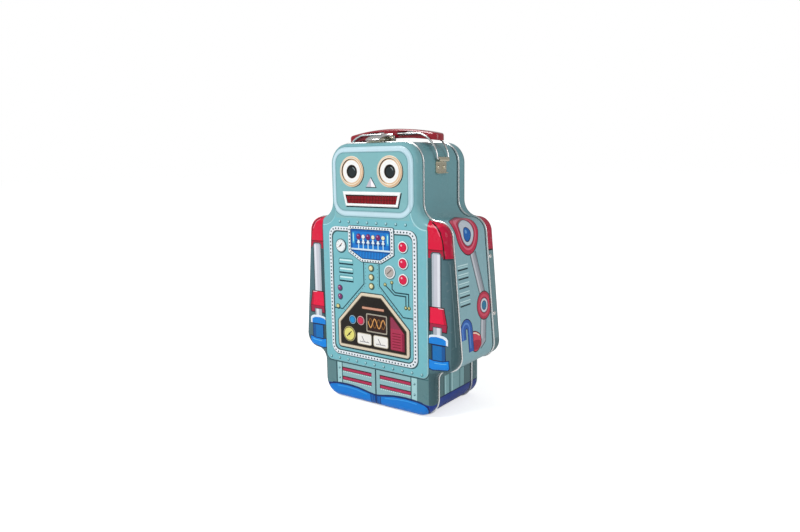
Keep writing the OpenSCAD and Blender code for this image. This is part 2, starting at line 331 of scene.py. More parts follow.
# ---------------------------------------------------------------- printed sheets
def triangles(rims, lines, spots):
    """Triangles that fill the rims and have every line among their edges."""
    points, edges = [], []
    for loop in list(rims) + list(lines):
        first = len(points)
        points += [Vector(p) for p in loop]
        sides = len(loop) if len(loop) > 2 else 1
        edges += [(first + k, first + (k + 1) % len(loop)) for k in range(sides)]
    points += [Vector(p) for p in spots]
    made = delaunay_2d_cdt(points, edges, [], 0, 1e-4)
    flat = np.array([tuple(p) for p in made[0]])
    faces = np.array(made[2])
    corners = flat[faces]
    middles = corners.mean(1)
    twice = np.cross(corners[:, 1] - corners[:, 0], corners[:, 2] - corners[:, 0])
    keep = abs(twice) > 1e-7
    held = np.zeros(len(faces), int)
    for rim in rims:
        held += inside(middles, rim)
    keep &= held % 2 == 1
    faces = faces[keep]
    faces[twice[keep] < 0] = faces[twice[keep] < 0][:, ::-1]
    return flat, faces


def unit(vectors):
    return vectors / np.maximum(np.linalg.norm(vectors, axis=-1), 1e-12)[..., None]


class Part:
    """Points, faces, corner inks, normals and slots of one mesh, gathered piece by piece."""

    def __init__(self):
        self.points, self.faces, self.inks, self.normals, self.slots = [], [], [], [], []
        self.count = 0

    def add(self, points, faces, inks, normals, slot):
        self.points.append(points)
        self.faces += [tuple(int(k) + self.count for k in f) for f in faces]
        self.inks.append(inks)
        self.normals.append(normals)
        self.slots += [slot] * len(faces)
        self.count += len(points)


def printed(part, art, rims, lines, spots, surface, wear, turned=False):
    """Adds a printed sheet with its bare inside and its cut edge to part."""
    prints = [loop for _, loops in art.inks for loop in loops]
    flat, faces = triangles(rims, lines + art.creases + prints, spots)
    used = np.unique(faces)
    index = np.zeros(len(flat), int)
    index[used] = np.arange(len(used))
    flat, faces = flat[used], index[faces]

    def raised(p):
        return surface(p, art.height(p))

    e = 0.03
    across = raised(flat + [e, 0]) - raised(flat - [e, 0])
    up = raised(flat + [0, e]) - raised(flat - [0, e])
    normals = unit(np.cross(across, up))
    if turned:
        normals = -normals
        faces = faces[:, ::-1]
    points = raised(flat)
    inks = np.ones((len(faces), 3, 4))
    inks[:, :, :3] = art.colours(flat[faces].mean(1))[:, None]
    inks[:, :, 3] = wear(flat)[faces]
    part.add(points, faces, inks.reshape(-1, 4), normals, 0)

    inner = points - normals * SHEET
    plain = np.zeros((len(faces) * 3, 4))
    part.add(inner, faces[:, ::-1], plain, -normals, 1)

    sides = np.vstack([faces[:, [0, 1]], faces[:, [1, 2]], faces[:, [2, 0]]])
    _, first, counts = np.unique(np.sort(sides, 1), axis=0, return_index=True, return_counts=True)
    a, b = sides[first[counts == 1]].T
    quads = np.stack([points[b], points[a], inner[a], inner[b]], 1)
    facing = unit(np.cross(quads[:, 1] - quads[:, 0], quads[:, 2] - quads[:, 0]))
    part.add(quads.reshape(-1, 3), np.arange(len(quads) * 4).reshape(-1, 4), np.zeros((len(quads) * 4, 4)),
             np.repeat(facing, 4, 0), 1)


def grid(x0, x1, z0, z1, pitch):
    """Staggered points that keep the triangles even."""
    xs = np.arange(x0 + pitch / 2, x1, pitch)
    zs = np.arange(z0 + pitch / 2, z1, pitch)
    a, b = np.meshgrid(xs, zs)
    a[::2] += pitch / 2
    return np.stack([a.ravel(), b.ravel()], 1)


def panel_surface(y_face, sign):
    """Maps the unrolled front or back panel, with its rounded edge and straight flank, into space."""

    def surface(points, height):
        depth, out = CASE.locate(points)
        u = np.maximum(EDGE_R - depth, 0)
        a = np.clip(u / EDGE_R, 0, QUARTER)
        pull = EDGE_R * np.sin(a) - u
        drop = EDGE_R * (1 - np.cos(a)) + np.maximum(u - ARC_LENGTH, 0)
        normal = np.stack([out[:, 0] * np.sin(a), -sign * np.cos(a), out[:, 1] * np.sin(a)], 1)
        base = np.stack([points[:, 0] + out[:, 0] * pull, y_face + sign * drop,
                         points[:, 1] + out[:, 1] * pull], 1)
        return base + normal * height[:, None]

    return surface


def edge_rings(lowest):
    """Rings at every fifth of the rounding's radius, as far as the given depth."""
    depths = [EDGE_R * (1 - k / 5) for k in range(8)]
    return [CASE.loop(d, 4, FINE_TURN) for d in depths if d > lowest]


def panel_spots(pitch):
    """Points spread over the flat of a panel."""
    spots = grid(-80, 80, 8, 224, pitch)
    return spots[CASE.depth(spots) > EDGE_R + 1]


def band_surface(points, height):
    """Maps arc length and depth along y onto the side of the case."""
    place, out = CASE.at(points[:, 0])
    return np.stack([place[:, 0] + out[:, 0] * height, points[:, 1], place[:, 1] + out[:, 1] * height], 1)


def build(name, part, materials, body, replaced):
    """Makes the mesh of a printed part, with its inks as a corner attribute."""
    mesh = bpy.data.meshes.new(name)
    points = np.vstack(part.points) * MM
    mesh.from_pydata(points.tolist(), [], part.faces)
    for material in materials:
        mesh.materials.append(material)
    mesh.polygons.foreach_set("material_index", part.slots)
    mesh.polygons.foreach_set("use_smooth", [True] * len(part.faces))
    inks = mesh.color_attributes.new("ink", "FLOAT_COLOR", "CORNER")
    inks.data.foreach_set("color", np.vstack(part.inks).ravel())
    mesh.normals_split_custom_set_from_vertices(np.vstack(part.normals).tolist())
    return placed(name, mesh, body, replaced)


def placed(name, mesh, body, replaced):
    """Puts a mesh in the scene as a piece that rides on a body."""
    piece = bpy.data.objects.new(name, mesh)
    bpy.context.scene.collection.objects.link(piece)
    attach(piece, body)
    if replaced:
        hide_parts(*replaced)
    return piece


# ---------------------------------------------------------------- art of the front
TEAL = "#7cbdc7"
HEAD_TEAL = "#87bbc0"
RECESS = "#54727a"
DARK = "#2f4a50"
NAVY = "#123a68"
RED = "#dc1a45"
BLUE = "#0a7fd6"


def side_printer(art, side):
    """Prints shapes drawn for the right half of the front, flipped over for the left one."""

    def ink(colour, shape):
        art.ink(colour, np.array(shape, float) * [side, 1])

    return ink


def art_ground(art):
    """Shaded flanks behind the arms."""
    art.ink("#4a666c", bar(-100, -56, -8, 166), bar(56, 100, -8, 166))
    art.ink(RECESS, bar(-78, -56, 40, 166), bar(56, 78, 40, 166))


def art_plate(art):
    """The raised plate of the chest and head, with a dark line round it as painted shadow at the foot of
    its step and a pale band inside its edge as painted highlight.
    """
    # painted shadow: dark line just outside the plate's raised edge
    art.ink(DARK, PLATE.loop(-0.9, 8))
    art.ink("#7fb3ba", bar(-55.9, 55.9, 152, 240))
    # painted highlight: pale band just inside the plate's edge
    art.ink("#a9dbe2", PLATE.loop(-0.1, 8))
    art.ink(TEAL, PLATE.loop(0.7, 8))
    art.ink(HEAD_TEAL, poly((-39.5, 166), (39.5, 166), (39.5, 213), (32, 222), (-32, 222), (-39.5, 213)))
    art.press(PLATE, STEP, 0.9)


def rivets(art, places, r):
    """Small printed rivets, raised a little."""
    for x, z in places:
        art.ink("#3c666f", disc(x + 0.15, z - 0.15, r + 0.25, 12))
        art.ink("#a5d2d8", disc(x - 0.1, z + 0.1, r - 0.15, 10))
        art.press(Disc(x, z, r + 0.2), 0.35, r * 0.8)


def art_face(art):
    """Pale frame round the face, its lighter middle and darker edges painted as the light and shade of a
    rounded rib, with eyes, nose and mouth.
    """
    shape = Outline(mirrored([(42.9, 167.8, 14), (42.9, 226.5, 14)]))
    # pale frame ink with painted light in its middle and painted shade at both edges
    art.stack(shape, (-0.7, "#6c9ba4"), (0, "#b4d5df"), (1.1, "#c8e3ee"), (3.8, "#a9cbd5"),
              (4.6, "#6d9ca5"), (5.2, HEAD_TEAL))
    for side in (-1, 1):
        art_eye(art, 20.2 * side, 205.8)
    art.ink("#3f5b60", poly((0.6, 201.6), (-5.4, 192.2), (6.5, 192.2)))
    art.ink("#c9c4cf", poly((0, 200.6), (-4.8, 193), (0.6, 193)))
    art.ink("#fbf6fa", poly((0, 200.6), (0.6, 193), (5.2, 193)))
    art_mouth(art)


def art_eye(art, x, z):
    """Raised cream ring round a white eye; its painted shadow falls to the lower right, and painted shade
    lines the inside of the ring on the upper left.
    """
    # printed rings, with a painted shadow to the lower right and a dark painted-shade ring inside on the
    # upper left
    for dx, dz, r, colour in ((0.75, -0.45, 13.0, "#33393a"), (-0.2, 0, 13.1, "#ead9c2"),
                              (0.2, -0.1, 12.3, "#dcb690"), (-0.3, 0.2, 11.6, "#efe2cd"),
                              (-0.5, 0.2, 10.6, "#4f3a30"), (0.1, -0.1, 10.3, "#e3c19c"),
                              (-0.3, 0.1, 9.5, "#f6f7f6"), (0, 0, 5.8, "#6a5f58"), (0, 0, 5.4, "#1f2426"),
                              (0.3, -0.3, 4.2, "#343b3e")):
        art.ink(colour, disc(x + dx, z + dz, r))
    art.ink("#8b9699", stroke([(x + 1.0, z + 3.4), (x + 2.5, z + 2.5), (x + 3.3, z + 1.0)], 0.7))
    art.ridge(Disc(x, z, 13.2), Disc(x, z, 10.2), 0.42, 0.9)


def art_mouth(art):
    """Grille behind a raised white frame that narrows downwards, with the frame's painted shadow on its
    lower right and painted shade inside it along the top and left.
    """
    # painted shadow: dark copy of the frame moved to the lower right
    art.ink("#2d3f44", poly((-30.2, 188.3), (32.2, 188.3), (29.0, 175.5), (-27.2, 175.5)))
    art.ink("#fafcfc", poly((-30.9, 189.0), (30.9, 189.0), (27.8, 176.7), (-27.8, 176.7)))
    # painted shade: the dark under the grille shows most along the top and left, inside the raised frame
    art.ink("#2c0810", poly((-28.0, 186.2), (27.9, 186.2), (25.8, 178.8), (-26.0, 178.8)))
    art.ink("#9c1630", poly((-26.8, 185.0), (27.2, 185.4), (25.3, 179.0), (-25.2, 179.1)))
    for k in range(31):
        x = -24.6 + 1.62 * k
        art.ink("#4d0a1c", bar(x, x + 0.7, 179.1, 185.2))
    art.ink("#5b0c20", bar(-26.2, 26.0, 181.8, 182.3))
    shape = Outline([(-27.8, 176.8, 0.8), (27.8, 176.8, 0.8), (30.9, 188.9, 0.8), (-30.9, 188.9, 0.8)])
    hole = Outline([(-26.0, 178.7, 0.5), (25.8, 178.7, 0.5), (27.9, 186.3, 0.5), (-28.0, 186.3, 0.5)])
    art.ridge(shape, hole, 0.42, 0.7)


def art_border(art):
    """White dotted frame round the chest: a raised rib with its painted shadow to the right and below, and
    painted shade on its inner side, widest at the left, top and bottom.
    """
    outer = frame_of(-48.3, 46, 42.6, 158.2, 8)
    inner = frame_of(-45.2, 42.2, 45.8, 154.8, 6)
    # painted shadow: dark frame reaching further right and lower than the white rib
    art.ink("#3f5f65", frame_of(-48.0, 47.1, 41.8, 158.4, 8).loop())
    art.ink("#e6eef4", outer.loop())
    # painted shade: dark band inside the rib, widest at the left, top and bottom
    art.ink("#3c5a5e", inner.loop())
    art.ink(TEAL, frame_of(-43.8, 41.8, 47, 153.6, 5.6).loop())
    middle = frame_of(-46.75, 44.1, 44.2, 156.5, 7)
    art.ink("#3a4f57", *[disc(x, z, 0.8, 8) for x, z in middle.spaced(3.2)])
    art.ridge(outer, inner, 0.3, 0.9)


def art_window(art):
    """Blue window in a dotted frame, with a comb below and six lamps on a shelf; the raised frame casts a
    painted shadow to its right.
    """
    shape = [(-26.2, 159.4, 1.5), (-26.2, 136.5, 1), (-12, 129, 1), (9.5, 129, 1), (22.8, 136.6, 1),
             (22.8, 159.4, 1.5)]
    glass = [(-23, 156.7, 1), (-23, 138.4, 1), (-10.5, 131.8, 0.8), (8.5, 131.8, 0.8), (19.3, 138.4, 1),
             (19.3, 156.7, 1)]
    rim = Outline(shape)
    pane = Outline(glass)
    # painted shadow: dark copy of the raised frame moved to the right and a little down
    art.ink("#33525a", rim.loop(-0.7) + [0.5, -0.1])
    art.ink("#e9f1f6", rim.loop())
    art.stack(pane, (-0.5, "#24485a"), (0, "#0b5fa8"), (1.6, "#0f7bd0"))
    middle = Outline([(x * 0.935, z + (0.9 if z < 150 else -1.2), r) for x, z, r in shape])
    art.ink("#3a4f57", *[disc(x, z, 0.75, 8) for x, z in middle.spaced(2.9)])
    art_comb(art)
    art.ink("#0a5499", bar(-18.0, 14.6, 143.4, 147.4))
    for x in (-20.3, 16.8):
        art.ink("#49b4dc", bar(x - 1.1, x + 1.1, 144.6, 154.0))
        art.ink("#b9ecf3", bar(x - 0.45, x + 0.45, 146.0, 152.8))
    for purple, cream, top in ((-14.6, -9.4, "#eef0e6"), (-4.2, 1.2, "#ece8c0"), (6.6, 12.0, "#ece8c0")):
        art_lamp(art, purple, 2.35, "#7c2f62", "#c78ab0")
        art_lamp(art, cream, 1.75, top, "#fbfbf6")
    art.ridge(rim, pane, 0.3, 0.8)


def art_comb(art):
    """Upright slats that follow the slanted foot of the window, under a pale shelf."""
    art.ink("#1c8ade", poly((-22.6, 138.4), (19, 138.4), (8.3, 132.2), (-10.4, 132.2)))
    for k in range(24):
        x = -20.4 + 1.65 * k
        foot = 132.3 + max(0, (-10.4 - x) * 0.5, (x - 8.3) * 0.58)
        art.ink("#0a4a90", bar(x, x + 0.62, foot, 138.0))
    art.ink("#0a4f88", bar(-23, 19.3, 137.7, 138.6))
    art.ink("#d5e6ee", bar(-23, 19.3, 138.9, 140.3))


def art_lamp(art, x, r, top, shine):
    """Round lamp on a stepped stem."""
    art.ink("#bfe6f2", bar(x - 0.5, x + 0.5, 140.3, 145.4))
    art.ink("#e6f4f6", bar(x - 1.5, x + 1.5, 145.0, 146.3), bar(x - 0.9, x + 0.9, 146.3, 148.6))
    art.ink("#0a3f7c", disc(x + 0.25, 150.4, r + 0.45))
    art.ink(top, disc(x, 150.6, r))
    art.ink(shine, disc(x - 0.6, 151.4, r * 0.3, 8))


def knob(art, x, z, layers, shadow=None, height=0.3):
    """Concentric inks with a soft shadow on the lower right, pressed up a little."""
    big = layers[0][0]
    art.ink(shadow or "#41656d", disc(x + 0.55, z - 0.35, big + 0.35))
    for r, colour in layers:
        art.ink(colour, disc(x, z, r))
    art.press(Disc(x, z, big), height, min(0.9, big * 0.6))


def art_controls(art):
    """Gauge, louvres, buttons and lamps beside and below the window."""
    art_gauge(art, -35, 141.5)
    for z in (126.2, 118.4, 111):
        art.ink("#3f7079", frame_of(-37.9, -21.3, z - 1.4, z + 4.3, 1.9).loop())
        art.ink("#86c6ce", frame_of(-37.4, -21.7, z - 0.9, z + 3.8, 1.6).loop())
        art.ink("#dcf3f3", frame_of(-36.8, -22.3, z + 1.9, z + 3.1, 0.5).loop())
        art.ink("#243f49", bar(-37.6, -21.4, z - 1.5, z - 0.1))
    for z in (103.6, 95.8):
        knob(art, -37.5, z, ((2.6, "#4d2a4f"), (2.1, "#8a4577")))
        art.ink("#e7b9d6", disc(-38.1, z + 0.7, 0.6, 8))
    knob(art, -40.3, 86.6, ((2.2, "#47553a"), (1.7, "#d8cf8f")))
    for z in (124, 116.3, 108.4):
        knob(art, -1.6, z, ((2.8, "#5c5f3d"), (2.0, "#e2dcae")))
        art.ink("#f8f6df", disc(-2.2, z + 0.6, 0.6, 8))
    knob(art, 18.2, 122.3, ((5.6, "#eef3f5"), (4.6, "#8f8a88"), (4.0, "#b7afaa")))
    art.ink("#6f6a68", stroke([(15.8, 120.4), (20.4, 124.4)], 1.0))
    for z in (144.2, 130.6, 117):
        knob(art, 32.2, z, ((4.9, "#f0f4f6"), (4.1, "#8f1c33"), (3.7, "#da2a4f")))
        art.ink("#f6b3c1", disc(30.9, z + 1.4, 0.9, 10))
    art_traces(art)


def art_gauge(art, x, z):
    """White dial with a needle and seven marks."""
    knob(art, x, z, ((6.0, "#39555c"), (5.4, "#c7d8dc"), (4.8, "#eef3f4")))
    art.ink("#7a3328", stroke([(x - 2.2, z - 1.6), (x + 1.8, z + 2.1)], 0.8))
    art.ink("#39555c", disc(x, z, 0.8, 8))
    for k in range(7):
        a = math.radians(-30 + 40 * k)
        art.ink("#4b6066", disc(x + 4.1 * math.cos(a), z + 4.1 * math.sin(a), 0.32, 6))


def art_traces(art):
    """Seam lines beside the console, with their rows of dots, and two wires with round ends."""
    left = [(-9.6, 129), (-9.6, 109.5), (-34.5, 84.8), (-43.8, 84.8)]
    right = [(7.3, 129), (7.3, 109.3), (31.8, 85), (41.8, 85)]
    for path, shift in ((left, 1.9), (right, -1.9)):
        art.ink("#2a4a54", stroke(path, 1.0))
        inner = [(x + shift, z - 0.6) for x, z in path]
        art.ink("#3c646e", *[disc(x, z, 0.42, 6) for x, z in along(inner, 3.3)])
    art.ink("#24424b", stroke([(14.5, 110), (23, 103.2), (34.8, 103), (34.8, 95)], 1.1))
    art.ink("#24424b", stroke([(20.7, 112), (20.7, 108), (24, 105.3), (37.6, 105.3), (37.6, 95)], 1.1))
    for x, z in ((13.4, 111.2), (20.5, 113.5), (34.6, 93.4), (38.0, 93.4)):
        art.ink("#3f4a2c", disc(x, z, 1.75, 10))
        art.ink("#cdc98c", disc(x - 0.2, z + 0.2, 1.05, 8))


def along(path, pitch):
    """Points a pitch apart along an open path."""
    path = np.array(path, float)
    lengths = np.concatenate([[0], np.cumsum(np.linalg.norm(np.diff(path, axis=0), axis=1))])
    s = np.arange(pitch / 2, lengths[-1], pitch)
    return np.stack([np.interp(s, lengths, path[:, 0]), np.interp(s, lengths, path[:, 1])], 1)


def art_console(art):
    """Dark instrument panel in a cream frame, with a painted shadow of the raised frame to its lower right.
    """
    shape = Outline([(-40, 50.2, 3), (37.8, 50.2, 3), (37.8, 74.3, 3), (9.8, 101.4, 3), (-13.2, 101.4, 3),
                     (-40, 74, 3)])
    # painted shadow: dark copy of the raised frame moved to the lower right
    art.ink("#33474a", shape.loop(-1.1) + [0.3, -0.2])
    art.stack(shape, (0, "#e0d2bb"), (2.3, "#8a7f6c"), (2.9, "#2c2923"))
    art.press(shape, 0.35, 0.9)
    art.ink("#5a3b2a", bar(-12.4, 12.2, 87.1, 89.9))
    art.ink("#d19d86", bar(-12, 11.7, 87.6, 89.4))
    art_scope(art)
    shadow = "#151412"
    knob(art, -23.3, 76.2, ((3.9, "#8fb9cf"), (3.3, "#14568c"), (2.7, "#2c93cf")), shadow)
    knob(art, -14, 76.5, ((4.1, "#d8a7ac"), (3.4, "#7a1530"), (2.8, "#d8365a")), shadow)
    knob(art, -27.2, 62.8, ((6.9, "#b7ad7a"), (6.2, "#5d5632"), (5.6, "#e7e07e")), shadow)
    art.ink("#3a3420", stroke([(-30, 60.3), (-24.6, 65.4)], 0.9), disc(-27.2, 62.8, 1.1, 10))
    art_meter(art, -17.8, -2.8)
    art_meter(art, 0.3, 15.3)
    art_grille(art)


def art_scope(art):
    """Screen with two waves that cross."""
    art.ink("#a8a294", frame_of(-7.8, 15, 67.5, 84, 1.2).loop())
    art.ink("#3a2a1c", frame_of(-6.7, 13.9, 68.6, 82.9, 0.8).loop())
    middle, swing, length = 75.8, 4, 9.2
    xs = np.linspace(-5.8, 13, 34)
    wave = swing * np.cos(2 * math.pi * (xs - 1.5) / length)
    art.ink("#8a5f34", stroke(np.stack([xs, middle - wave], 1), 0.7))
    art.ink("#e0a260", stroke(np.stack([xs, middle + wave], 1), 0.9))


def art_meter(art, x0, x1):
    """Small white meter with a scale and a needle."""
    art.ink("#b7ad96", frame_of(x0 - 0.6, x1 + 0.6, 55.2, 65.6, 1.9).loop())
    art.ink("#f2f0ea", frame_of(x0, x1, 55.8, 65, 1.5).loop())
    needle = stroke([((x0 + x1) / 2, 57.9), (x0 + 4.6, 62.6)], 0.7)
    art.ink("#6a6470", bar(x0 + 2.2, x1 - 2.2, 57.4, 57.9), needle)
    art.ink("#8a8490", *[bar(x0 + 3.2 + 1.9 * k, x0 + 3.5 + 1.9 * k, 57.9, 59.0) for k in range(5)])


def art_grille(art):
    """Red slotted panel at the right of the console."""
    art.ink("#5e1c2e", poly((18.0, 54.9), (18.0, 84.4), (20.8, 84.4), (33.5, 70.8), (33.5, 54.9)))
    art.ink("#b03c58", poly((18.7, 55.6), (18.7, 83.5), (20.5, 83.5), (32.8, 70.5), (32.8, 55.6)))
    art.ink("#963d56", poly((18.7, 74), (18.7, 83.5), (20.5, 83.5), (29.5, 74)))
    art.ink("#8c2c46", bar(30.6, 32.8, 55.6, 70.6))
    art.ink("#7c2038", *[bar(20.3, 29.2, 57.6 + 2.4 * k, 58.3 + 2.4 * k) for k in range(6)])


def art_legs(art):
    """Pale leg plates with two pressed red slots on each, a painted shadow under the chest plate and
    painted shade on the rounded flanks.
    """
    art.ink("#64888c", bar(-62, 62, -8, 41))
    art.ink("#a9d3d6", bar(-44.4, 44.4, -8, 34.9))
    art.ink("#92bbc0", bar(-37.4, -0.6, -8, 34.4), bar(1.6, 37.9, -8, 34.4))
    art.ink("#35535a", bar(-45.3, -43.8, -8, 35), bar(-38.6, -37.6, -8, 35), bar(-0.4, 1.3, -8, 35),
            bar(37.9, 38.9, -8, 35))
    # painted shadow: dark band under the foot of the raised chest plate
    art.ink("#4a6f76", bar(-56, 56, 34.0, 35.0))
    # painted shade: darker ink where the legs' edge rounds onto the flank
    art.ink("#4a666c", bar(-70, -56.2, -8, 41), bar(56.2, 70, -8, 41))
    rivets(art, [(41.6 * side, z) for side in (-1, 1) for z in (29, 19.6)], 0.9)
    for side in (-1, 1):
        for z in (27, 18.5):
            x0, x1 = sorted((4.5 * side + 0.4, 38 * side))
            art.ink("#43142c", bar(x0, x1, z - 0.4, z + 3.3))
            art.ink("#b83a5c", bar(x0 + 0.5, x1 - 0.4, z + 0.1, z + 2.2))
            art.ink("#cfe3e3", *[bar(x0 + 1 + 2.2 * k, x0 + 2.2 + 2.2 * k, z - 1.5,
                                     z - 0.6) for k in range(15)])
            art.press(frame_of(x0, x1, z, z + 3, 0.8), -0.3, 0.6)


def art_boots(art):
    """Blue boots with dark outlines, drawn for the right one."""
    top = [(0.4, 11.0), (4, 11.4), (8, 12), (14, 13.2), (20, 14), (26, 14.5), (32, 14.7), (40, 14.5),
           (50, 13.4), (60, 12), (72, 11)]
    low = [(72, -8), (0.4, -8)]
    toe = [(0.4, 9.8), (8, 10.9), (20, 12.9), (32, 13.5), (44, 13.1), (51.5, 11.8), (54.5, 10.2), (55.2, 7),
           (54, 1), (52.5, -8), (0.4, -8)]
    for side in (-1, 1):
        ink = side_printer(art, side)
        ink("#2f4796", [*top, *low])
        ink("#0f3268", [*top[:9], (55.6, 11.6), (56.4, 6), (55, -8), (0.4, -8)])
        ink(NAVY, stroke(top[:9], 1.2))
        ink(BLUE, toe)
        ink("#3fa0ea", stroke([(10, 9.6), (22, 11.4), (34, 12), (44, 11.4)], 0.8))
        ink("#0b66b4", [(0.4, 9.8), (5.5, 10.4), (5.2, 4), (4.2, -8), (0.4, -8)])
        ink(NAVY, stroke([(5.6, 10.4), (5.2, 4), (4.0, -2), (2.6, -8)], 0.7))
        ink(NAVY, stroke([(2.4, 10.2), (2.2, 4), (1.6, -2), (1.0, -8)], 0.45))
    art.ink(NAVY, bar(-0.5, 1.2, -8, 11.4))
    art.ink(NAVY, bar(-62, 62, -2.7, -0.9))


def art_arm(art, side):
    """Red shoulder and steel rod on the rounded flank of the lid, with a painted shadow beside the plate's
    edge and painted shade where the shoulder turns onto the flank.
    """
    ink = side_printer(art, side)
    # painted shadow: dark strip beside the raised plate's edge
    ink("#3d575d", [(57.1, 48), (57.1, 137), (59.3, 137), (59.3, 48)])
    ink(DARK, [(55, 143.6), (55, 170), (92, 170), (92, 136.2), (70.6, 136.2), (70.2, 143.6)])
    ink("#b31c3f", [(56.2, 137.2), (56.2, 170), (92, 170), (92, 137.3), (71.2, 137.3), (70.6, 140),
                    (69, 137.2)])
    ink(RED, [(56.2, 144.2), (56.2, 170), (92, 170), (92, 150), (71.6, 150), (70.2, 144.2)])
    # painted shade: darker red where the shoulder rounds onto the flank
    ink("#c22346", [(72.0, 137.3), (71.6, 150), (70, 156), (66, 161.5), (76, 168), (92, 168), (92, 137.3)])
    ink("#3d0f22", stroke([(58.5, 167), (64, 163), (68.2, 158), (70.4, 151), (71.2, 144), (72.2, 137)],
                          1.1))
    ink("#7d1330", bar(56.2, 70.4, 143.3, 144.2))
    ink("#f0859b", stroke([(60, 164.4), (65, 160.8), (68, 155)], 0.6))
    ink("#42585e", [(58.9, 97), (58.9, 140.4), (60.6, 142.3), (67.9, 142.3), (69.4, 140.4), (69.4, 97)])
    ink("#b7bfc9", [(60.2, 97.3), (60.2, 140), (61.6, 141.4), (67, 141.4), (68.2, 140), (68.2, 97.3)])
    ink("#cbccd6", bar(62.3, 68.2, 97.3, 140.4))
    ink("#e2e4ec", bar(65.4, 67.6, 97.3, 140.4))
    art_cuff(ink)
    art_claw(ink)
    ink("#6d868c", stroke([(76.6, 133), (79.6, 100), (82, 66)], 0.8))


def art_cuff(ink):
    """Red cuff over the lower end of the rod."""
    ink("#3d1020", [(57.2, 97.8), (71.9, 97.8), (75, 82.6), (74.4, 77), (56.8, 77)])
    ink("#a8304c", [(58.2, 83.6), (57.6, 77.8), (73.6, 77.8), (74.1, 83.6)])
    ink("#ea284b", [(58.4, 97), (71.2, 97), (74, 83.9), (57.9, 83.9)])
    ink("#c11f42", [(69.4, 97), (71.2, 97), (74, 83.9), (71.4, 83.9)])
    ink("#f2d9df", stroke([(66, 96.8), (71, 96.6)], 0.6))
    ink("#3b4e55", bar(60.5, 69.7, 74.2, 81.2))
    ink("#aeb4bf", bar(61.2, 69, 74.2, 80.6))
    ink("#dfe2ea", bar(64.6, 67.6, 74.2, 80.6))


def art_claw(ink):
    """Blue hand with a pale arch above it."""
    arch = [(56.3, 71.6), (57.2, 73.6), (60, 74.4), (66, 74.7), (71, 74.4), (73.8, 73.4), (75.2, 71.4),
            (75.2, 66.6)]
    ink("#163a66", [(55.9, 66.2), *arch, (75.8, 66.2)])
    ink("#e7f1fa", [(56.4, 71), *arch[1:], (74.6, 66.8), (56.4, 66.8)])
    ink("#0a86de", [(56.4, 66.8), (56.4, 70.4), (58.4, 72.2), (64, 72.9), (70, 72.4), (73.2, 70.8),
                    (73.4, 66.8)])
    ink("#14304f", [(56.6, 66.8), (72.8, 66.8), (73.2, 52.5), (59.2, 52.5), (59.2, 66)])
    ink("#1b74bb", bar(60.3, 72.4, 53.4, 65.6))
    ink("#145c9b", bar(69.2, 72.4, 53.4, 65.6))
    ink("#163a66", [(55.8, 54.2), (61, 53.2), (70, 53.4), (76.4, 55), (76.6, 47.6), (74.8, 45.2), (60, 44),
                    (55.8, 45.2)])
    ink("#078ae6", [(56.6, 53.2), (61, 52.3), (70, 52.6), (75.5, 54), (75.8, 48), (74.4, 46), (60, 44.9),
                    (56.6, 46)])
    ink("#67bdf2", stroke([(62, 50.6), (70, 50.8), (73.6, 51.6)], 0.6))


def front_art():
    art = Art("#4f6d73")
    art_ground(art)
    art_legs(art)
    art_boots(art)
    for side in (-1, 1):
        art_arm(art, side)
    art_plate(art)
    art_face(art)
    rivets(art, [(x * side, 162.8) for side in (-1, 1) for x in (5, 15.2, 25.4, 35.3)], 1.15)
    rivets(art, [(10 * k, 38.7) for k in range(-5, 6)], 1.15)
    art_border(art)
    art_window(art)
    art_controls(art)
    art_console(art)
    return art


def hem_rim():
    """Open edge of the unrolled lid, with the notch for the hinge."""
    loop = CASE.loop(HEM_D, 6, FINE_TURN)
    floor = loop[:, 1].min() + 0.01
    kept = loop[~((loop[:, 1] < floor) & (abs(loop[:, 0]) < HINGE_HALF + 1))]
    cut = next(k for k in range(len(kept)) if kept[k - 1][0] < 0 < kept[k][0] and kept[k][1] < floor)
    high = floor + 1.5
    notch = [(-HINGE_HALF, floor - 0.01), (-HINGE_HALF, high), (HINGE_HALF, high),
             (HINGE_HALF, floor - 0.01)]
    return np.vstack([kept[:cut], notch, kept[cut:]])


def front_wear(points):
    """Where the print rubs first: the plate's edge, the pressed rounding and the hem."""
    plate = np.exp(-(PLATE.depth(points) - 0.5) ** 2 / 0.6)
    depth = CASE.depth(points)
    corner = 0.3 * np.exp(-(depth - 2.2) ** 2 / 3)
    hem = eased((HEM_D + 1.2 - depth) / 1.2)
    return np.clip(plate * 0.8 + corner + hem, 0, 1)


def make_lid(ink, tin):
    part = Part()
    rings = edge_rings(TURN_D) + [CASE.loop(TURN_D, 4, FINE_TURN)]
    printed(part, front_art(), [hem_rim()], rings, panel_spots(6), panel_surface(PANEL_Y, 1), front_wear)
    return build("lid_print", part, [ink, tin], "lid", ["front_lid"])


# ---------------------------------------------------------------- art of the sides and the back
SIDE_TEAL = "#6f9ba2"
GREY_TEAL = "#5c787c"
BOOT_SIDE = "#34488e"
HALF_LENGTH = END - HALF_FLOOR
SHOULDER_S = 196
TOP_S = 306
SIDE_GAIN = 1.12


def side_loops(loop):
    """A shape given by depth behind the face and arc length up the right side, for both sides."""
    s, y = loop[:, 1], FACE_Y + loop[:, 0]
    return np.stack([s, y], 1), np.stack([HALF_LENGTH - s, y], 1)


def side_ink(art, colour, loop):
    art.ink(colour, *side_loops(np.array(loop, float)))


def side_bar(art, colour, q0, q1, s0, s1):
    side_ink(art, colour, bar(q0, q1, s0, s1))


def oval(q, s, rq, rs, count=32):
    a = 2 * math.pi * np.arange(count) / count
    return np.stack([q + rq * np.cos(a), s + rs * np.sin(a)], 1)


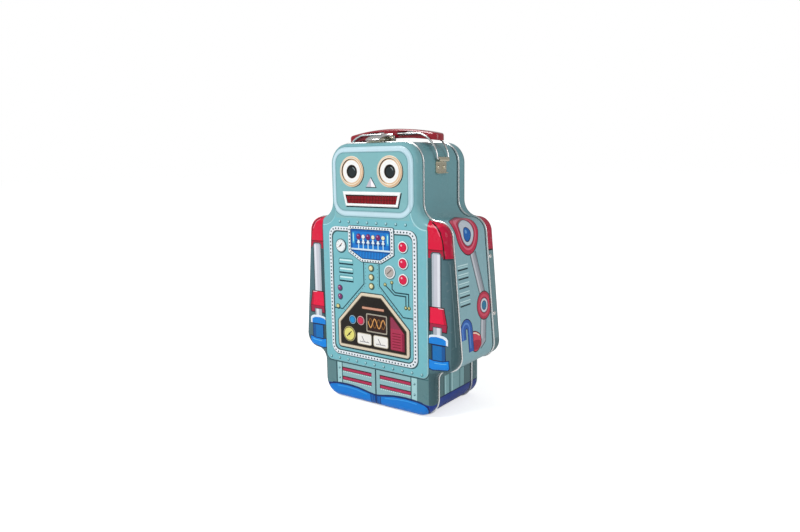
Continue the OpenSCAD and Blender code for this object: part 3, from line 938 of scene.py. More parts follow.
def side_ground(art, q0, q1):
    """Boot and leg colours at the foot of a side; the last, darker blue on the underside and the lowest
    bend is painted shade.
    """
    # the darker blue from -46 to 6 is painted shade where the side turns under
    for colour, s0, s1 in ((BOOT_SIDE, -46, 25.2), ("#1d2c5c", 24.4, 25.4), (GREY_TEAL, 25.4, 42),
                           (GREY_TEAL, 42, 76), ("#2a3f7a", -46, 6)):
        side_bar(art, colour, q0, q1, s0, s1)


def side_arm(art):
    """The jointed arm printed on each side: shoulder plate, rods, elbow, cuff and hook."""
    side_shoulder(art)
    rod(art, (39.5, 158.6), (51, 122))
    rod(art, (49.8, 102), (46.6, 84.5), (39.5, 81))
    for r, colour in ((12.5, "#2c2028"), (11.7, "#b8304c"), (9.6, "#cf4a63"), (7.4, "#a8263f"),
                      (6.5, "#4a4a5c"), (5.9, "#d3d6e0"), (4.1, "#1c2f5e"), (3.5, "#2b7a9e")):
        side_ink(art, colour, oval(52.3, 112.2, r, r))
    side_hand(art)


def side_shoulder(art):
    """Drop-shaped red plate round a blue eye."""
    drop = softened([(15, 178), (15.6, 184), (19, 189.5), (26, 193), (34, 196), (42, 198.5), (47, 197.6),
                     (50, 193), (51, 186), (50.7, 178), (49.6, 170), (46, 163.5), (40, 159), (33, 157.8),
                     (27, 159.6), (21, 164.4), (17, 171)])
    heart = np.array([33.5, 176])
    reach = drop - heart
    side_ink(art, "#2c2028", heart + reach * 1.05)
    side_ink(art, "#c23350", drop)
    side_ink(art, "#d8657c", heart + reach * [0.80, 0.84] + [0.3, 0.6])
    side_ink(art, "#a8263f", heart + reach * 0.70)
    side_ink(art, "#5d6f7c", heart + reach * [0.60, 0.62])
    side_ink(art, "#c3ccd6", heart + reach * [0.56, 0.58])
    side_ink(art, "#1c2f5e", oval(32.8, 174.8, 6.0, 6.4))
    side_ink(art, "#2664b0", oval(32.6, 175.0, 5.2, 5.6))
    side_ink(art, "#6fa6dc", oval(31.4, 177.2, 1.5, 1.7, 12))


def side_hand(art):
    """Red cuff, and the blue hook in front of it."""
    cuff = softened([(30.2, 93.8), (36, 92.6), (41.6, 89.6), (43.6, 84.6), (41.8, 79.6), (34.6, 75.8),
                     (27.8, 78.8), (28.4, 86)])
    middle = cuff.mean(0)
    reach = cuff - middle
    side_ink(art, "#3a1020", middle + reach * 1.1)
    side_ink(art, "#cf3f58", cuff)
    side_ink(art, "#a8263f", middle + reach * [0.95, 0.5] + [0.6, -3.2])
    side_ink(art, "#f0dcc4", stroke([(31, 92.6), (36, 91.4), (41, 88.6)], 1.1))
    crook = [(20.85 - 5.45 * math.cos(a), 96.6 + 5.6 * math.sin(a)) for a in np.linspace(0, math.pi, 15)]
    hook = [(15.4, 89.5)] + crook + [(26.3, 78)]
    side_ink(art, "#16264e", stroke(hook, 8.6))
    side_ink(art, "#2f5fae", stroke(hook, 6.9))
    side_ink(art, "#5b8ad0", stroke([(q - 0.7, s + 0.5) for q, s in hook[:-1]] + [(25.6, 81)], 1.6))


def rod(art, start, end, *toe):
    """Polished rod between two joints; a toe bends its lower end."""
    path = [start, end, *toe]
    side_ink(art, "#32474e", stroke(path, 9.9))
    side_ink(art, "#a3a9b2", stroke(path, 8.2))
    ends = np.array([start, end])
    lean = np.array([start[1] - end[1], end[0] - start[0]]) / math.dist(start, end)
    side_ink(art, "#c9cdd4", stroke(ends - lean * 2.2, 2.0))
    side_ink(art, "#858c96", stroke(ends + lean * 3.0, 1.6))


def side_louvres(art):
    for s in (147.2, 139.8, 132.4, 124.9, 117.6):
        side_bar(art, "#c3e0e2", 14.2, 30.4, s + 3.0, s + 3.9)
        side_bar(art, "#a9ced2", 14.6, 30.2, s + 1.3, s + 2.2)
        side_bar(art, "#24393f", 14, 30, s - 0.7, s + 0.6)


def side_legs(art):
    """Upright ribs of the legs."""
    for q0, q1, colour in ((19.2, 51.8, "#83acb0"), (18.2, 19.3, "#2f4a50"), (26.8, 29.4, "#56797e"),
                           (43.2, 45.2, "#5f868c"), (51.6, 52.4, "#3d5a60")):
        side_bar(art, colour, q0, q1, 25.4, 42)
    side_bar(art, "#a8cdd0", 20.4, 21.8, 25.6, 41.6)
    side_bar(art, "#a8cdd0", 31, 32.6, 25.6, 41.6)


def band_art():
    art = Art(SIDE_TEAL, SIDE_GAIN)
    side_ground(art, 5, 70)
    # painted light: a lighter teal up the arm's side, which leans up towards the lamps
    side_bar(art, "#8ab1b9", 5, 70, 60, SHOULDER_S)
    side_legs(art)
    side_louvres(art)
    side_arm(art)
    # painted shade: dark lines beside the rear and the front seam beads
    side_bar(art, "#1f3238", 61.9, 63.6, -46, TOP_S)
    side_bar(art, "#38525a", 11.2, 12.3, -46, TOP_S)
    return art


def band_rim():
    """Edge of the unrolled side strip, cut under the middle, with the hinge notch at both ends."""
    notch_y = HINGE_Y + 1.8
    return np.array([(START, notch_y), (LIP_START, notch_y), (LIP_START, BAND_Y), (LIP_END, BAND_Y),
                     (LIP_END, notch_y), (END, notch_y), (END, SEAM_Y), (START, SEAM_Y)])


def stations_between(start, end, step, margin):
    """The case's stations between two arc lengths, which may pass the middle of the underside."""
    places = CASE.stations(step, FINE_TURN)
    places = np.sort(np.concatenate([places, places - CASE.length]))
    return places[(places > start + margin) & (places < end - margin)]


def cross_lines(y0, y1):
    """Lines across the strip at every station, so that it bends where the outline bends."""
    return [np.array([(s, y0), (s, y1)]) for s in stations_between(START, END, 12, 0.2)]


def edge_wear(y0, y1):
    """Rubbed print along both edges of a strip."""

    def wear(points):
        near = np.minimum(abs(points[:, 1] - y0), abs(points[:, 1] - y1))
        return 0.04 + 0.8 * np.exp(-near ** 2 / 1.2)

    return wear


def make_band(ink, tin):
    part = Part()
    printed(part, band_art(), [band_rim()], cross_lines(BAND_Y, SEAM_Y),
            grid(START, END, BAND_Y + 2, SEAM_Y, 7), band_surface, edge_wear(BAND_Y, SEAM_Y), True)
    return build("side_print", part, [ink, tin], "case", ["side_band"])


def rear_side_art():
    """Flank of the rear pan: the arm's colours go on round it, with painted shade beside the seam bead."""
    art = Art(SIDE_TEAL, SIDE_GAIN)
    side_ground(art, 60, 90)
    for colour, s0, s1 in ((GREY_TEAL, 76, 160), ("#6c8d92", 80, 157), ("#b02c46", 158.4, SHOULDER_S),
                           ("#2c2028", 157.4, 158.6), ("#2c2028", SHOULDER_S - 0.6, SHOULDER_S + 0.6)):
        side_bar(art, colour, 60, 90, s0, s1)
    # painted shade: dark line just behind the seam bead
    side_bar(art, "#31464c", 60, 66.6, -46, TOP_S)
    return art


def back_art():
    """A plain riveted back between the arms' and boots' colours, with a pressed hatch and vent."""
    art = Art("#5f868c")
    art.ink(GREY_TEAL, bar(-100, -60, 41, 166), bar(60, 100, 41, 166))
    art.ink("#2c2028", bar(-100, 100, 136, 137.2))
    art.ink("#b02c46", bar(-100, -60, 137.2, 168), bar(60, 100, 137.2, 168))
    art.ink("#2c3f86", bar(-100, 100, -12, 14))
    art.ink("#1a2550", bar(-100, 100, 13.4, 14.6))
    art.ink("#33494f", CASE.loop(7.2, 8))
    art.ink("#7fb3ba", CASE.loop(8.2, 8))
    art.ink("#5c878e", bar(-100, 100, 13.4, 14.2))
    plate = frame_of(-42, 42, 60, 150, 7)
    art.stack(plate, (-0.8, "#3f6068"), (0, "#9fc6cc"), (1.4, "#86b8bf"))
    art.press(plate, -0.45, 1.4)
    face = frame_of(-30, 30, 178, 214, 6)
    art.stack(face, (-0.8, "#3f6068"), (0.4, "#86b8bf"))
    art.press(face, -0.45, 1.4)
    for k in range(5):
        slot = frame_of(-20, 20, 184 + 5.4 * k, 186.2 + 5.4 * k, 1.05)
        art.stack(slot, (-0.3, "#29404a"), (0.4, "#46707a"))
        art.press(slot, -0.35, 0.7)
    rivets(art, frame_of(-36, 36, 66, 144, 4).spaced(13), 1.3)
    rivets(art, [(x * side, 163) for side in (-1, 1) for x in (6, 18, 30)], 1.2)
    art.ink("#3f6068", bar(-0.4, 0.4, 14.5, 60), bar(-0.4, 0.4, 150, 178))
    return art


def back_wear(points):
    return 0.08 + 0.5 * np.exp(-(CASE.depth(points) - 2.5) ** 2 / 3)


def make_pan(ink, tin):
    part = Part()
    printed(part, back_art(), [CASE.loop(TURN_D, 4, FINE_TURN)], edge_rings(TURN_D + 0.5), panel_spots(7),
            panel_surface(BACK_Y, -1), back_wear, True)
    low, high = SEAM_Y, BACK_Y - EDGE_R
    rim = np.array([(START, low), (END, low), (END, high), (START, high)])
    printed(part, rear_side_art(), [rim], cross_lines(low, high), grid(START, END, low, high, 6),
            band_surface, edge_wear(low, high), True)
    return build("rear_print", part, [ink, tin], "case", ["rear_pan"])


# ---------------------------------------------------------------- solids
def turns(count):
    """Angles that share out a full turn."""
    return [2 * math.pi * k / count for k in range(count)]


class Solid:
    """Closed shapes gathered in one mesh, in millimetres."""

    def __init__(self):
        self.points, self.faces = [], []

    def add(self, points, faces):
        first = len(self.points)
        self.points += [tuple(p) for p in points]
        self.faces += [tuple(first + k for k in f) for f in faces]
        return self

    def loft(self, rings, closed=False):
        """Skin over rings of equal count; open ends get a flat cap."""
        count, many = len(rings[0]), len(rings)
        faces = []
        for j in range(many if closed else many - 1):
            a, b = j * count, ((j + 1) % many) * count
            faces += [(a + i, a + (i + 1) % count, b + (i + 1) % count, b + i) for i in range(count)]
        if not closed:
            faces += [tuple(range(count))[::-1], tuple(range((many - 1) * count, many * count))]
        return self.add([p for ring in rings for p in ring], faces)

    def prism(self, loop, axis, low, high):
        """A flat loop pushed along x, y or z."""
        place = "xyz".index(axis)
        return self.loft([[(*pair[:place], t, *pair[place:]) for pair in loop] for t in (low, high)])

    def lathe(self, profile, origin, axis, count=28, bored=False):
        """Radius and height pairs turned about an axis through origin; a bored one has no ends."""
        axis = Vector(axis).normalized()
        side = axis.orthogonal().normalized()
        across = axis.cross(side)
        round_it = [side * math.cos(a) + across * math.sin(a) for a in turns(count)]
        rings = [[Vector(origin) + axis * h + out * max(r, 0.01) for out in round_it] for r, h in profile]
        return self.loft(rings, closed=bored)

    def tube(self, path, r, count):
        """Round wire along a path."""
        path = [Vector(p) for p in path]
        rings = []
        side = None
        for k, p in enumerate(path):
            along = (path[min(k + 1, len(path) - 1)] - path[max(k - 1, 0)]).normalized()
            side = (side - along * side.dot(along) if side else along.orthogonal()).normalized()
            across = along.cross(side)
            rings.append([p + (side * math.cos(a) + across * math.sin(a)) * r for a in turns(count)])
        return self.loft(rings)

    def finish(self, name, material, body, slot, replaced=(), bevel=0.0):
        """Makes the piece, with its sharp edges rounded over by the bevel."""
        mesh = bpy.data.meshes.new(name)
        bm = bmesh.new()
        verts = [bm.verts.new(Vector(p) * MM) for p in self.points]
        for face in self.faces:
            bm.faces.new([verts[k] for k in face])
        bmesh.ops.recalc_face_normals(bm, faces=bm.faces)
        if bevel:
            sharp = [e for e in bm.edges
                     if len(e.link_faces) == 2 and e.calc_face_angle() > BEVELLED]
            bmesh.ops.bevel(bm, geom=sharp, offset=bevel * MM, segments=2, profile=0.5, affect="EDGES",
                            clamp_overlap=True)
        bm.to_mesh(mesh)
        bm.free()
        mesh.materials.append(material)
        mesh.polygons.foreach_set("use_smooth", [True] * len(mesh.polygons))
        mesh.set_sharp_from_angle(angle=SHARP)
        return placed(name, mesh, body, replaced)


def swept(places, profile):
    """The profile, given outwards and along y, at each arc length round the case."""
    points, normals = CASE.at(places)
    return [[(p[0] + n[0] * o, y, p[1] + n[1] * o) for o, y in profile] for p, n in zip(points, normals)]


def open_stations():
    """Stations round the front seam, which the hinge interrupts."""
    return np.concatenate([[LIP_START], stations_between(LIP_START, LIP_END, 6, 0.3), [LIP_END]])


def bead(y):
    """Half-round profile of a curled seam at depth y."""
    half = BEAD_WIDTH / 2
    curve = [(BEAD_R * math.sin(t), y + half * math.cos(t)) for t in np.linspace(0, math.pi, 9)]
    return [(-0.05, y + half)] + curve + [(-0.05, y - half)]


def make_beads(tin):
    solid = Solid()
    solid.loft(swept(open_stations(), bead(BAND_Y + BEAD_WIDTH / 2)))
    solid.loft(swept(CASE.stations(6, FINE_TURN), bead(SEAM_Y + 0.2)), closed=True)
    return solid.finish("seam_beads", tin, "case", "bare_tin")


def make_neck(tin):
    """Inset lip that the closed lid slips over."""
    front, back, inner = BAND_LOW[1], BAND_Y + 0.9, NECK_IN + SHEET
    profile = [(-NECK_IN, front + 0.2), (-NECK_IN - 0.2, front), (-inner, front + 0.2), (-inner, back),
               (0, back), (0, BAND_Y + 0.1), (-NECK_IN, BAND_Y + 0.1)]
    return Solid().loft(swept(open_stations(), profile)).finish("lid_neck", tin, "case", "bare_tin")


# ---------------------------------------------------------------- hardware
GRIP_LOW, GRIP_HIGH = span("handle_grip")
GRIP_HALF = GRIP_HIGH[0]
GRIP_WIDTH = GRIP_HIGH[1] - GRIP_LOW[1]
GRIP_Y = (GRIP_LOW[1] + GRIP_HIGH[1]) / 2
GRIP_WALL = 0.9
GRIP_TOP = (241.5, 236.2)
GRIP_FOOT = (233.8, 230.6)
GRIP_ROUND = 5
SLOT = (6.8, 24, 235.85, 239)
PIVOT = (48.9, 215)
BAIL_PATH = [PIVOT, (47.9, 221.5), (44.5, 228.2), (38.5, 233.9), (31, 237), (8, 237)]
LEG_Y = GRIP_WIDTH / 2 + 1.5
WIRE_R = 0.9
BARREL_R = 2.1
BRACKET_FOOT = 203.5
LEVER_AXIS = (-17.4, 233)
PLATE_T = 0.6
KNUCKLE_L = 11.8
KNUCKLE_R = 1.2
DOME = [(1.0, -0.05), (1.0, 0.06), (0.95, 0.2), (0.8, 0.34), (0.55, 0.45), (0.28, 0.5), (0.0, 0.51)]


def arched(x, middle, end):
    """Height of a shallow arch over the handle's length."""
    rise = middle - end
    r = (GRIP_HALF ** 2 + rise ** 2) / (2 * rise)
    return middle - r + math.sqrt(r * r - min(abs(x), GRIP_HALF) ** 2)


def grip_ring(d, z_of):
    """The handle's rounded plan moved inwards by d, its near half first, at heights z_of(x)."""
    flat = GRIP_WIDTH / 2 - GRIP_ROUND
    near = [(-GRIP_HALF + d, 0)]
    near += [(-GRIP_HALF + GRIP_ROUND - (GRIP_ROUND - d) * math.cos(a),
              -flat - (GRIP_ROUND - d) * math.sin(a))
             for a in np.linspace(0, QUARTER, 7)]
    straight = np.linspace(-GRIP_HALF + GRIP_ROUND, GRIP_HALF - GRIP_ROUND, 31)[1:-1]
    near += [(x, -GRIP_WIDTH / 2 + d) for x in straight]
    near += [(-x, y) for x, y in reversed(near[:8])]
    ring = near + [(x, -y) for x, y in reversed(near)]
    return [(x, GRIP_Y + y, z_of(x)) for x, y in ring]


def make_handle(enamel):
    """Arched channel grip: rings run from its top face down the outside and back up the inside."""

    def top(drop):
        return lambda x: arched(x, *GRIP_TOP) - drop

    def foot(lift):
        return lambda x: arched(x, *GRIP_FOOT) + lift

    levels = [(3.2, top(1.0)), (1.9, top(1.1)), (1.1, top(1.9)), (GRIP_WALL, top(2.8)),
              (GRIP_WALL, foot(0.25)), (0.65, foot(0)), (0.25, foot(0)), (0, foot(0.25)), (0, top(1.7)),
              (0.12, top(1.0)), (0.5, top(0.35)), (1.1, top(0.06)), (2.0, top(0))]
    rings = [grip_ring(d, z_of) for d, z_of in levels]
    count = len(rings[0])
    faces = [(j * count + i, j * count + (i + 1) % count, (j + 1) * count + (i + 1) % count,
              (j + 1) * count + i)
             for j in range(len(rings) - 1) for i in range(count)]
    for first in (0, (len(rings) - 1) * count):
        faces += [(first + i, first + i + 1, first + count - 2 - i, first + count - 1 - i)
                  for i in range(count // 2 - 1)]
    solid = Solid().add([p for ring in rings for p in ring], faces)
    cut_slots(solid.finish("handle_enamelled", enamel, "handle", "red_enamel", ["handle_grip"]), enamel)


def cut_slots(piece, enamel):
    """Cuts the two long slots that the ends of the wire slide in."""
    x0, x1, z0, z1 = SLOT
    cutter = Solid()
    for side in (-1, 1):
        low, high = sorted((x0 * side, x1 * side))
        cutter.prism(frame_of(low, high, z0, z1, 1.5).loop(), "y", GRIP_Y - 12, GRIP_Y + 12)
    tool = cutter.finish("slot_cutter", enamel, "handle", "red_enamel")
    cut = piece.modifiers.new("slots", "BOOLEAN")
    cut.object = tool
    cut.operation = "DIFFERENCE"
    cut.solver = "EXACT"
    bpy.context.view_layer.update()
    mesh = bpy.data.meshes.new_from_object(piece.evaluated_get(bpy.context.evaluated_depsgraph_get()))
    piece.modifiers.clear()
    piece.data = mesh
    mesh.set_sharp_from_angle(angle=SHARP)
    bpy.data.objects.remove(tool)


def bent(points, reach, count=6):
    """The path with each corner turned into a bend that starts reach away from it."""
    points = [Vector(p) for p in points]
    path = [points[0]]
    for before, here, after in zip(points, points[1:], points[2:]):
        r = min(reach, (here - before).length * 0.45, (after - here).length * 0.45)
        a, b = here + (before - here).normalized() * r, here + (after - here).normalized() * r
        path += [(a * (1 - t) + here * t) * (1 - t) + (here * (1 - t) + b * t) * t
                 for t in np.linspace(0, 1, count)]
    return path + [points[-1]]


def make_bail(side, name, body, steel):
    """One wire bent from the grip's front slot through its bracket to the rear slot."""
    tip_x, tip_z = BAIL_PATH[-1]
    leg = LEG_Y - 4
    near = [(x * side, GRIP_Y - LEG_Y, z) for x, z in BAIL_PATH]
    far = [(x * side, GRIP_Y + LEG_Y, z) for x, z in BAIL_PATH]
    ends = [(tip_x * side, GRIP_Y - leg, tip_z), (tip_x * side, GRIP_Y + leg, tip_z)]
    path = ends[:1] + near[::-1] + far + ends[1:]
    Solid().tube(bent(path, 2.4), WIRE_R, 14).finish(name + "_wire", steel, body, "steel", [name])


def flipped(points, side):
    return [(x * side, z) for x, z in points]


def arc(centre, r, start, end, count):
    """Points along an arc, angles in degrees."""
    angles = np.radians(np.linspace(start, end, count))
    return [(centre[0] + r * math.cos(a), centre[1] + r * math.sin(a)) for a in angles]


def make_bracket(side, name, nickel):
    """Plate with a folded foot, rolled over the wire at its top."""
    x, foot = HEAD_HALF, BRACKET_FOOT
    plate = [(x, foot + 0.3), (x + 0.3, foot), (x + 2.6, foot), (x + 2.6, foot + 0.8),
             (x + 1.3, foot + 0.8), (x + 0.8, foot + 1.3), (x + 0.8, foot + 9.4), (x, foot + 9.4)]
    roll = [(x + 0.1, foot + 8.6), (x + 0.2, foot + 9.6)] + arc(PIVOT, BARREL_R, 180, -130, 26)
    roll += arc(PIVOT, WIRE_R + 0.25, -130, 180, 20) + [(x + 0.85, foot + 9.6), (x + 0.9, foot + 8.6)]
    half = GRIP_WIDTH / 2 + 1
    barrel = LEG_Y - WIRE_R - 0.4
    solid = Solid()
    solid.prism(flipped(plate, side), "y", GRIP_Y - half, GRIP_Y + half)
    solid.prism(flipped(roll, side), "y", GRIP_Y - barrel, GRIP_Y + barrel)
    solid.finish(name + "_plated", nickel, "case", "nickel", [name], 0.14)


def dome(solid, origin, axis, r, deep=0.6):
    """Round rivet head that stands on origin along axis, with its shank below."""
    profile = [(r * 0.5, -deep), (r * 0.5, 0)] + [(r * a, r * b) for a, b in DOME]
    return solid.lathe(profile, origin, axis)


def make_rivets(chrome, nickel):
    """Heads of the rivets of the brackets, the latch base and the keeper, and the studs."""
    for side, word in ((-1, "left"), (1, "right")):
        solid = Solid()
        for k in (-1, 1):
            dome(solid, ((HEAD_HALF + 0.8) * side, GRIP_Y + 4.5 * k, 208.6), (side, 0, 0), 1.8)
        solid.finish("bracket_rivet_heads_" + word, nickel, "case", "nickel", ["bracket_rivets_" + word])
        make_studs(side, word, chrome)
    top = CASE_TOP + PLATE_T
    for name, body, node, x, y, r in (("latch_rivet_heads", "case", "latch_base_rivets", 5, -24.4, 1.5),
                                      ("keeper_rivet_heads", "lid", "keeper_rivets", 7.7, HEM_Y - 1.7,
                                       1.1)):
        solid = Solid()
        for side in (-1, 1):
            dome(solid, (x * side, y, top), (0, 0, 1), r)
        solid.finish(name, chrome, body, "chrome", [node])


def make_studs(side, word, chrome):
    """Two studs on the leaning side of the arm, behind the rear seam."""
    low, high = np.array(HALF_CASE[2][:2]), np.array(HALF_CASE[3][:2])
    up = (high - low) / np.linalg.norm(high - low)
    solid = Solid()
    for z in (81.6, 132):
        x, height = low + up * (z - low[1])
        dome(solid, (x * side, 29.4, height), (up[1] * side, 0, -up[0]), 2.0)
    solid.finish("flank_stud_heads_" + word, chrome, "case", "chrome", ["flank_studs_" + word])


def softened(points, rounds=2):
    """The closed polygon with its corners cut off a few times over."""
    points = np.array(points, float)
    for _ in range(rounds):
        after = np.roll(points, -1, 0)
        points = np.stack([points * 0.78 + after * 0.22, points * 0.22 + after * 0.78], 1).reshape(-1, 2)
    return points


def make_latch_base(nickel):
    """Plate riveted to the head, with an ear at each end of the pin."""
    y = LEVER_AXIS[0]
    ear = [(y - 2.6, CASE_TOP + 0.1), (y + 2.6, CASE_TOP + 0.1)] + arc(LEVER_AXIS, 2.6, 0, 180, 15)
    base = Solid().prism(frame_of(-9.2, 9.2, -26.6, -14.2, 1.4).loop(), "z", CASE_TOP, CASE_TOP + PLATE_T)
    for low, high in ((-9.2, -8.2), (8.2, 9.2)):
        base.prism(ear, "x", low, high)
    base.finish("latch_base_plated", nickel, "case", "chrome", ["latch_base"], 0.12)


def make_latch_pin(chrome):
    profile = [(0, -9.95), (1.1, -9.85), (1.5, -9.5), (1.5, -9.3), (0.9, -9.25), (0.9, 9.25), (1.5, 9.3),
               (1.5, 9.5), (1.1, 9.85), (0, 9.95)]
    pin = Solid().lathe(profile, (0, *LEVER_AXIS), (1, 0, 0))
    pin.finish("latch_pin_turned", chrome, "case", "steel", ["latch_pin"])


def make_lever(chrome):
    """Curved lever with a hooked lip in front and a thumb tab behind, on a bored barrel."""
    lever = [(-19.6, 232.2), (-19, 235), (-24, 235.8), (-29.5, 235.2), (-33.9, 233.6), (-35.9, 232.6),
             (-36.1, 231.5), (-35.3, 231.45), (-34.9, 232.2), (-33.4, 232.7), (-29.2, 234.2), (-24, 234.8),
             (-20.2, 234)]
    thumb = [(-17.6, 234.4), (-15.6, 234), (-14.5, 235.6), (-14.1, 237.4), (-14.9, 237.5), (-15.5, 236),
             (-16.6, 235.1), (-18.2, 235.1)]
    barrel = [(0.97, -7.2), (2.0, -7.2), (2.2, -7.0), (2.2, 7.0), (2.0, 7.2), (0.97, 7.2)]
    solid = Solid().prism(softened(lever), "x", -7.2, 7.2).prism(softened(thumb), "x", -5.7, 5.7)
    solid.lathe(barrel, (0, *LEVER_AXIS), (1, 0, 0), bored=True)
    solid.finish("latch_lever_plated", chrome, "latch", "chrome", ["latch_lever"], 0.16)


def make_keeper(nickel):
    """Strip on the lid with the ridge that the lip hooks over."""
    keeper = Solid().prism(frame_of(-9, 9, HEM_Y - 3, HEM_Y - 0.4, 0.8).loop(), "z", CASE_TOP,
                           CASE_TOP + PLATE_T)
    ridge = [(0, -6), (0.5, -5.9), (0.8, -5.5), (0.8, 5.5), (0.5, 5.9), (0, 6)]
    keeper.lathe(ridge, (0, HEM_Y - 2.6, CASE_TOP + 0.9), (1, 0, 0))
    keeper.finish("latch_keeper_plated", nickel, "lid", "chrome", ["latch_keeper"], 0.1)


def make_knuckles(name, body, middles, leaf, tin):
    """Rolled knuckles about the pin, each with its flat leaf."""
    half, r, bore = KNUCKLE_L / 2, KNUCKLE_R, 0.68
    roll = [(bore, -half), (r - 0.15, -half), (r, -half + 0.2), (r, half - 0.2), (r - 0.15, half),
            (bore, half)]
    low, high = sorted((HINGE_Y + math.copysign(0.8, leaf), HINGE_Y + leaf))
    solid = Solid()
    for x in middles:
        solid.lathe(roll, (x, HINGE_Y, KNUCKLE_R), (1, 0, 0), 20, bored=True)
        solid.prism(bar(low, high, 0.5, 0.98), "x", x - half, x + half)
    solid.finish(name + "_rolled", tin, body, "bare_tin", [name])


def make_hinge(tin, steel):
    pitch = KNUCKLE_L + 0.2
    make_knuckles("lid_knuckles", "lid", (-pitch, pitch), -3.9, tin)
    make_knuckles("band_knuckles", "case", (-2 * pitch, 0, 2 * pitch), 7, tin)
    half = 2.5 * KNUCKLE_L + 0.6
    profile = [(0, -half), (0.45, -half + 0.05), (0.6, -half + 0.3), (0.6, half - 0.3), (0.45, half - 0.05),
               (0, half)]
    pin = Solid().lathe(profile, (0, HINGE_Y, KNUCKLE_R), (1, 0, 0), 16)
    pin.finish("hinge_pin_turned", steel, "case", "steel", ["hinge_pin"])


# ---------------------------------------------------------------- camera, light, floor
def make_camera():
    """Stands to the right of the face and looks down at it a little, leaning over slightly."""
    data = bpy.data.cameras.new("camera")
    data.lens = 29.92
    data.sensor_width = 36
    data.clip_start = 0.01
    data.clip_end = 60
    camera = bpy.data.objects.new("camera", data)
    bpy.context.scene.collection.objects.link(camera)
    turned, lowered, leaned = (math.radians(a) for a in (36.215, 9.094, 0.842))
    place = Matrix.Translation((0.3499, -0.4772, 0.2153)) @ Matrix.Rotation(turned, 4, "Z")
    camera.matrix_world = place @ Matrix.Rotation(QUARTER - lowered, 4, "X") @ Matrix.Rotation(-leaned, 4,
                                                                                               "Z")
    bpy.context.scene.camera = camera


def area_light(name, place, target, size, power):
    data = bpy.data.lights.new(name, "AREA")
    data.shape = "DISK"
    data.size = size
    data.energy = power
    light = bpy.data.objects.new(name, data)
    bpy.context.scene.collection.objects.link(light)
    light.location = place
    light.rotation_euler = (Vector(target) - Vector(place)).to_track_quat("-Z", "Y").to_euler()


def make_light():
    """A soft key and fill in an even white world, which the camera itself sees at full white."""
    world = bpy.data.worlds.new("studio")
    bpy.context.scene.world = world
    world.use_nodes = True
    nodes, links = world.node_tree.nodes, world.node_tree.links
    both = nodes.new("ShaderNodeMixShader")
    links.new(nodes.new("ShaderNodeLightPath").outputs["Is Camera Ray"], both.inputs["Fac"])
    for place, sky, strength in ((1, nodes["Background"], 0.42),
                                 (2, nodes.new("ShaderNodeBackground"), 1.0)):
        sky.inputs["Color"].default_value = (1, 1, 1, 1)
        sky.inputs["Strength"].default_value = strength
        links.new(sky.outputs["Background"], both.inputs[place])
    links.new(both.outputs["Shader"], nodes["World Output"].inputs["Surface"])
    area_light("key", (-0.9, -1.5, 1.5), (0, 0, 0.12), 0.9, 29)
    area_light("fill", (1.7, -0.3, 0.8), (0, 0, 0.1), 1.0, 7)
    bpy.context.scene.view_settings.view_transform = "Standard"


def make_floor(material):
    """Pale sweep that the case stands on."""
    reach = 8
    mesh = bpy.data.meshes.new("floor")
    corners = [(-reach, -reach, 0), (reach, -reach, 0), (reach, reach, 0), (-reach, reach, 0)]
    mesh.from_pydata(corners, [], [(0, 1, 2, 3)])
    mesh.materials.append(material)
    floor = bpy.data.objects.new("floor", mesh)
    bpy.context.scene.collection.objects.link(floor)


# ---------------------------------------------------------------- materials
class Nodes:
    """A node material being made: adds nodes and joins them."""

    def __init__(self, name):
        self.material = bpy.data.materials.new(name)
        self.material.use_nodes = True
        self.tree = self.material.node_tree
        self.shader = self.tree.nodes["Principled BSDF"]
        self.place = self.tree.nodes.new("ShaderNodeTexCoord").outputs["Object"]

    def link(self, source, target):
        self.tree.links.new(source, target)

    def noise(self, scale, detail, stretch=None):
        """Noise in the object's own metres."""
        node = self.tree.nodes.new("ShaderNodeTexNoise")
        node.inputs["Scale"].default_value = scale
        node.inputs["Detail"].default_value = detail
        source = self.place
        if stretch:
            mapping = self.tree.nodes.new("ShaderNodeMapping")
            mapping.inputs["Scale"].default_value = stretch
            self.link(self.place, mapping.inputs["Vector"])
            source = mapping.outputs["Vector"]
        self.link(source, node.inputs["Vector"])
        return node.outputs["Fac"]

    def spread(self, source, low, high, to_low, to_high):
        """Stretches low to high onto to_low to to_high, held at both ends."""
        node = self.tree.nodes.new("ShaderNodeMapRange")
        for name, value in (("From Min", low), ("From Max", high), ("To Min", to_low), ("To Max", to_high)):
            node.inputs[name].default_value = value
        self.link(source, node.inputs["Value"])
        return node.outputs["Result"]

    def times(self, a, b):
        node = self.tree.nodes.new("ShaderNodeMath")
        node.operation = "MULTIPLY"
        self.link(a, node.inputs[0])
        self.link(b, node.inputs[1])
        return node.outputs["Value"]

    def mix(self, share, a, b):
        """Colour between a and b, each a socket or a linear colour."""
        node = self.tree.nodes.new("ShaderNodeMix")
        node.data_type = "RGBA"
        self.link(share, node.inputs["Factor"])
        for name, value in (("A", a), ("B", b)):
            socket = next(s for s in node.inputs if s.name == name and s.type == "RGBA")
            if isinstance(value, bpy.types.NodeSocket):
                self.link(value, socket)
            else:
                socket.default_value = (*value, 1)
        return next(s for s in node.outputs if s.type == "RGBA")

    def bump(self, height, depth, strength, onto=None):
        node = self.tree.nodes.new("ShaderNodeBump")
        node.inputs["Distance"].default_value = depth
        node.inputs["Strength"].default_value = strength
        self.link(height, node.inputs["Height"])
        if onto:
            self.link(onto, node.inputs["Normal"])
        return node.outputs["Normal"]

    def set(self, **values):
        """Constants for the shader's own sockets."""
        for name, value in values.items():
            self.shader.inputs[name.replace("_", " ")].default_value = value

    def into(self, **sources):
        """Joins sockets to the shader's own sockets."""
        for name, source in sources.items():
            self.link(source, self.shader.inputs[name.replace("_", " ")])


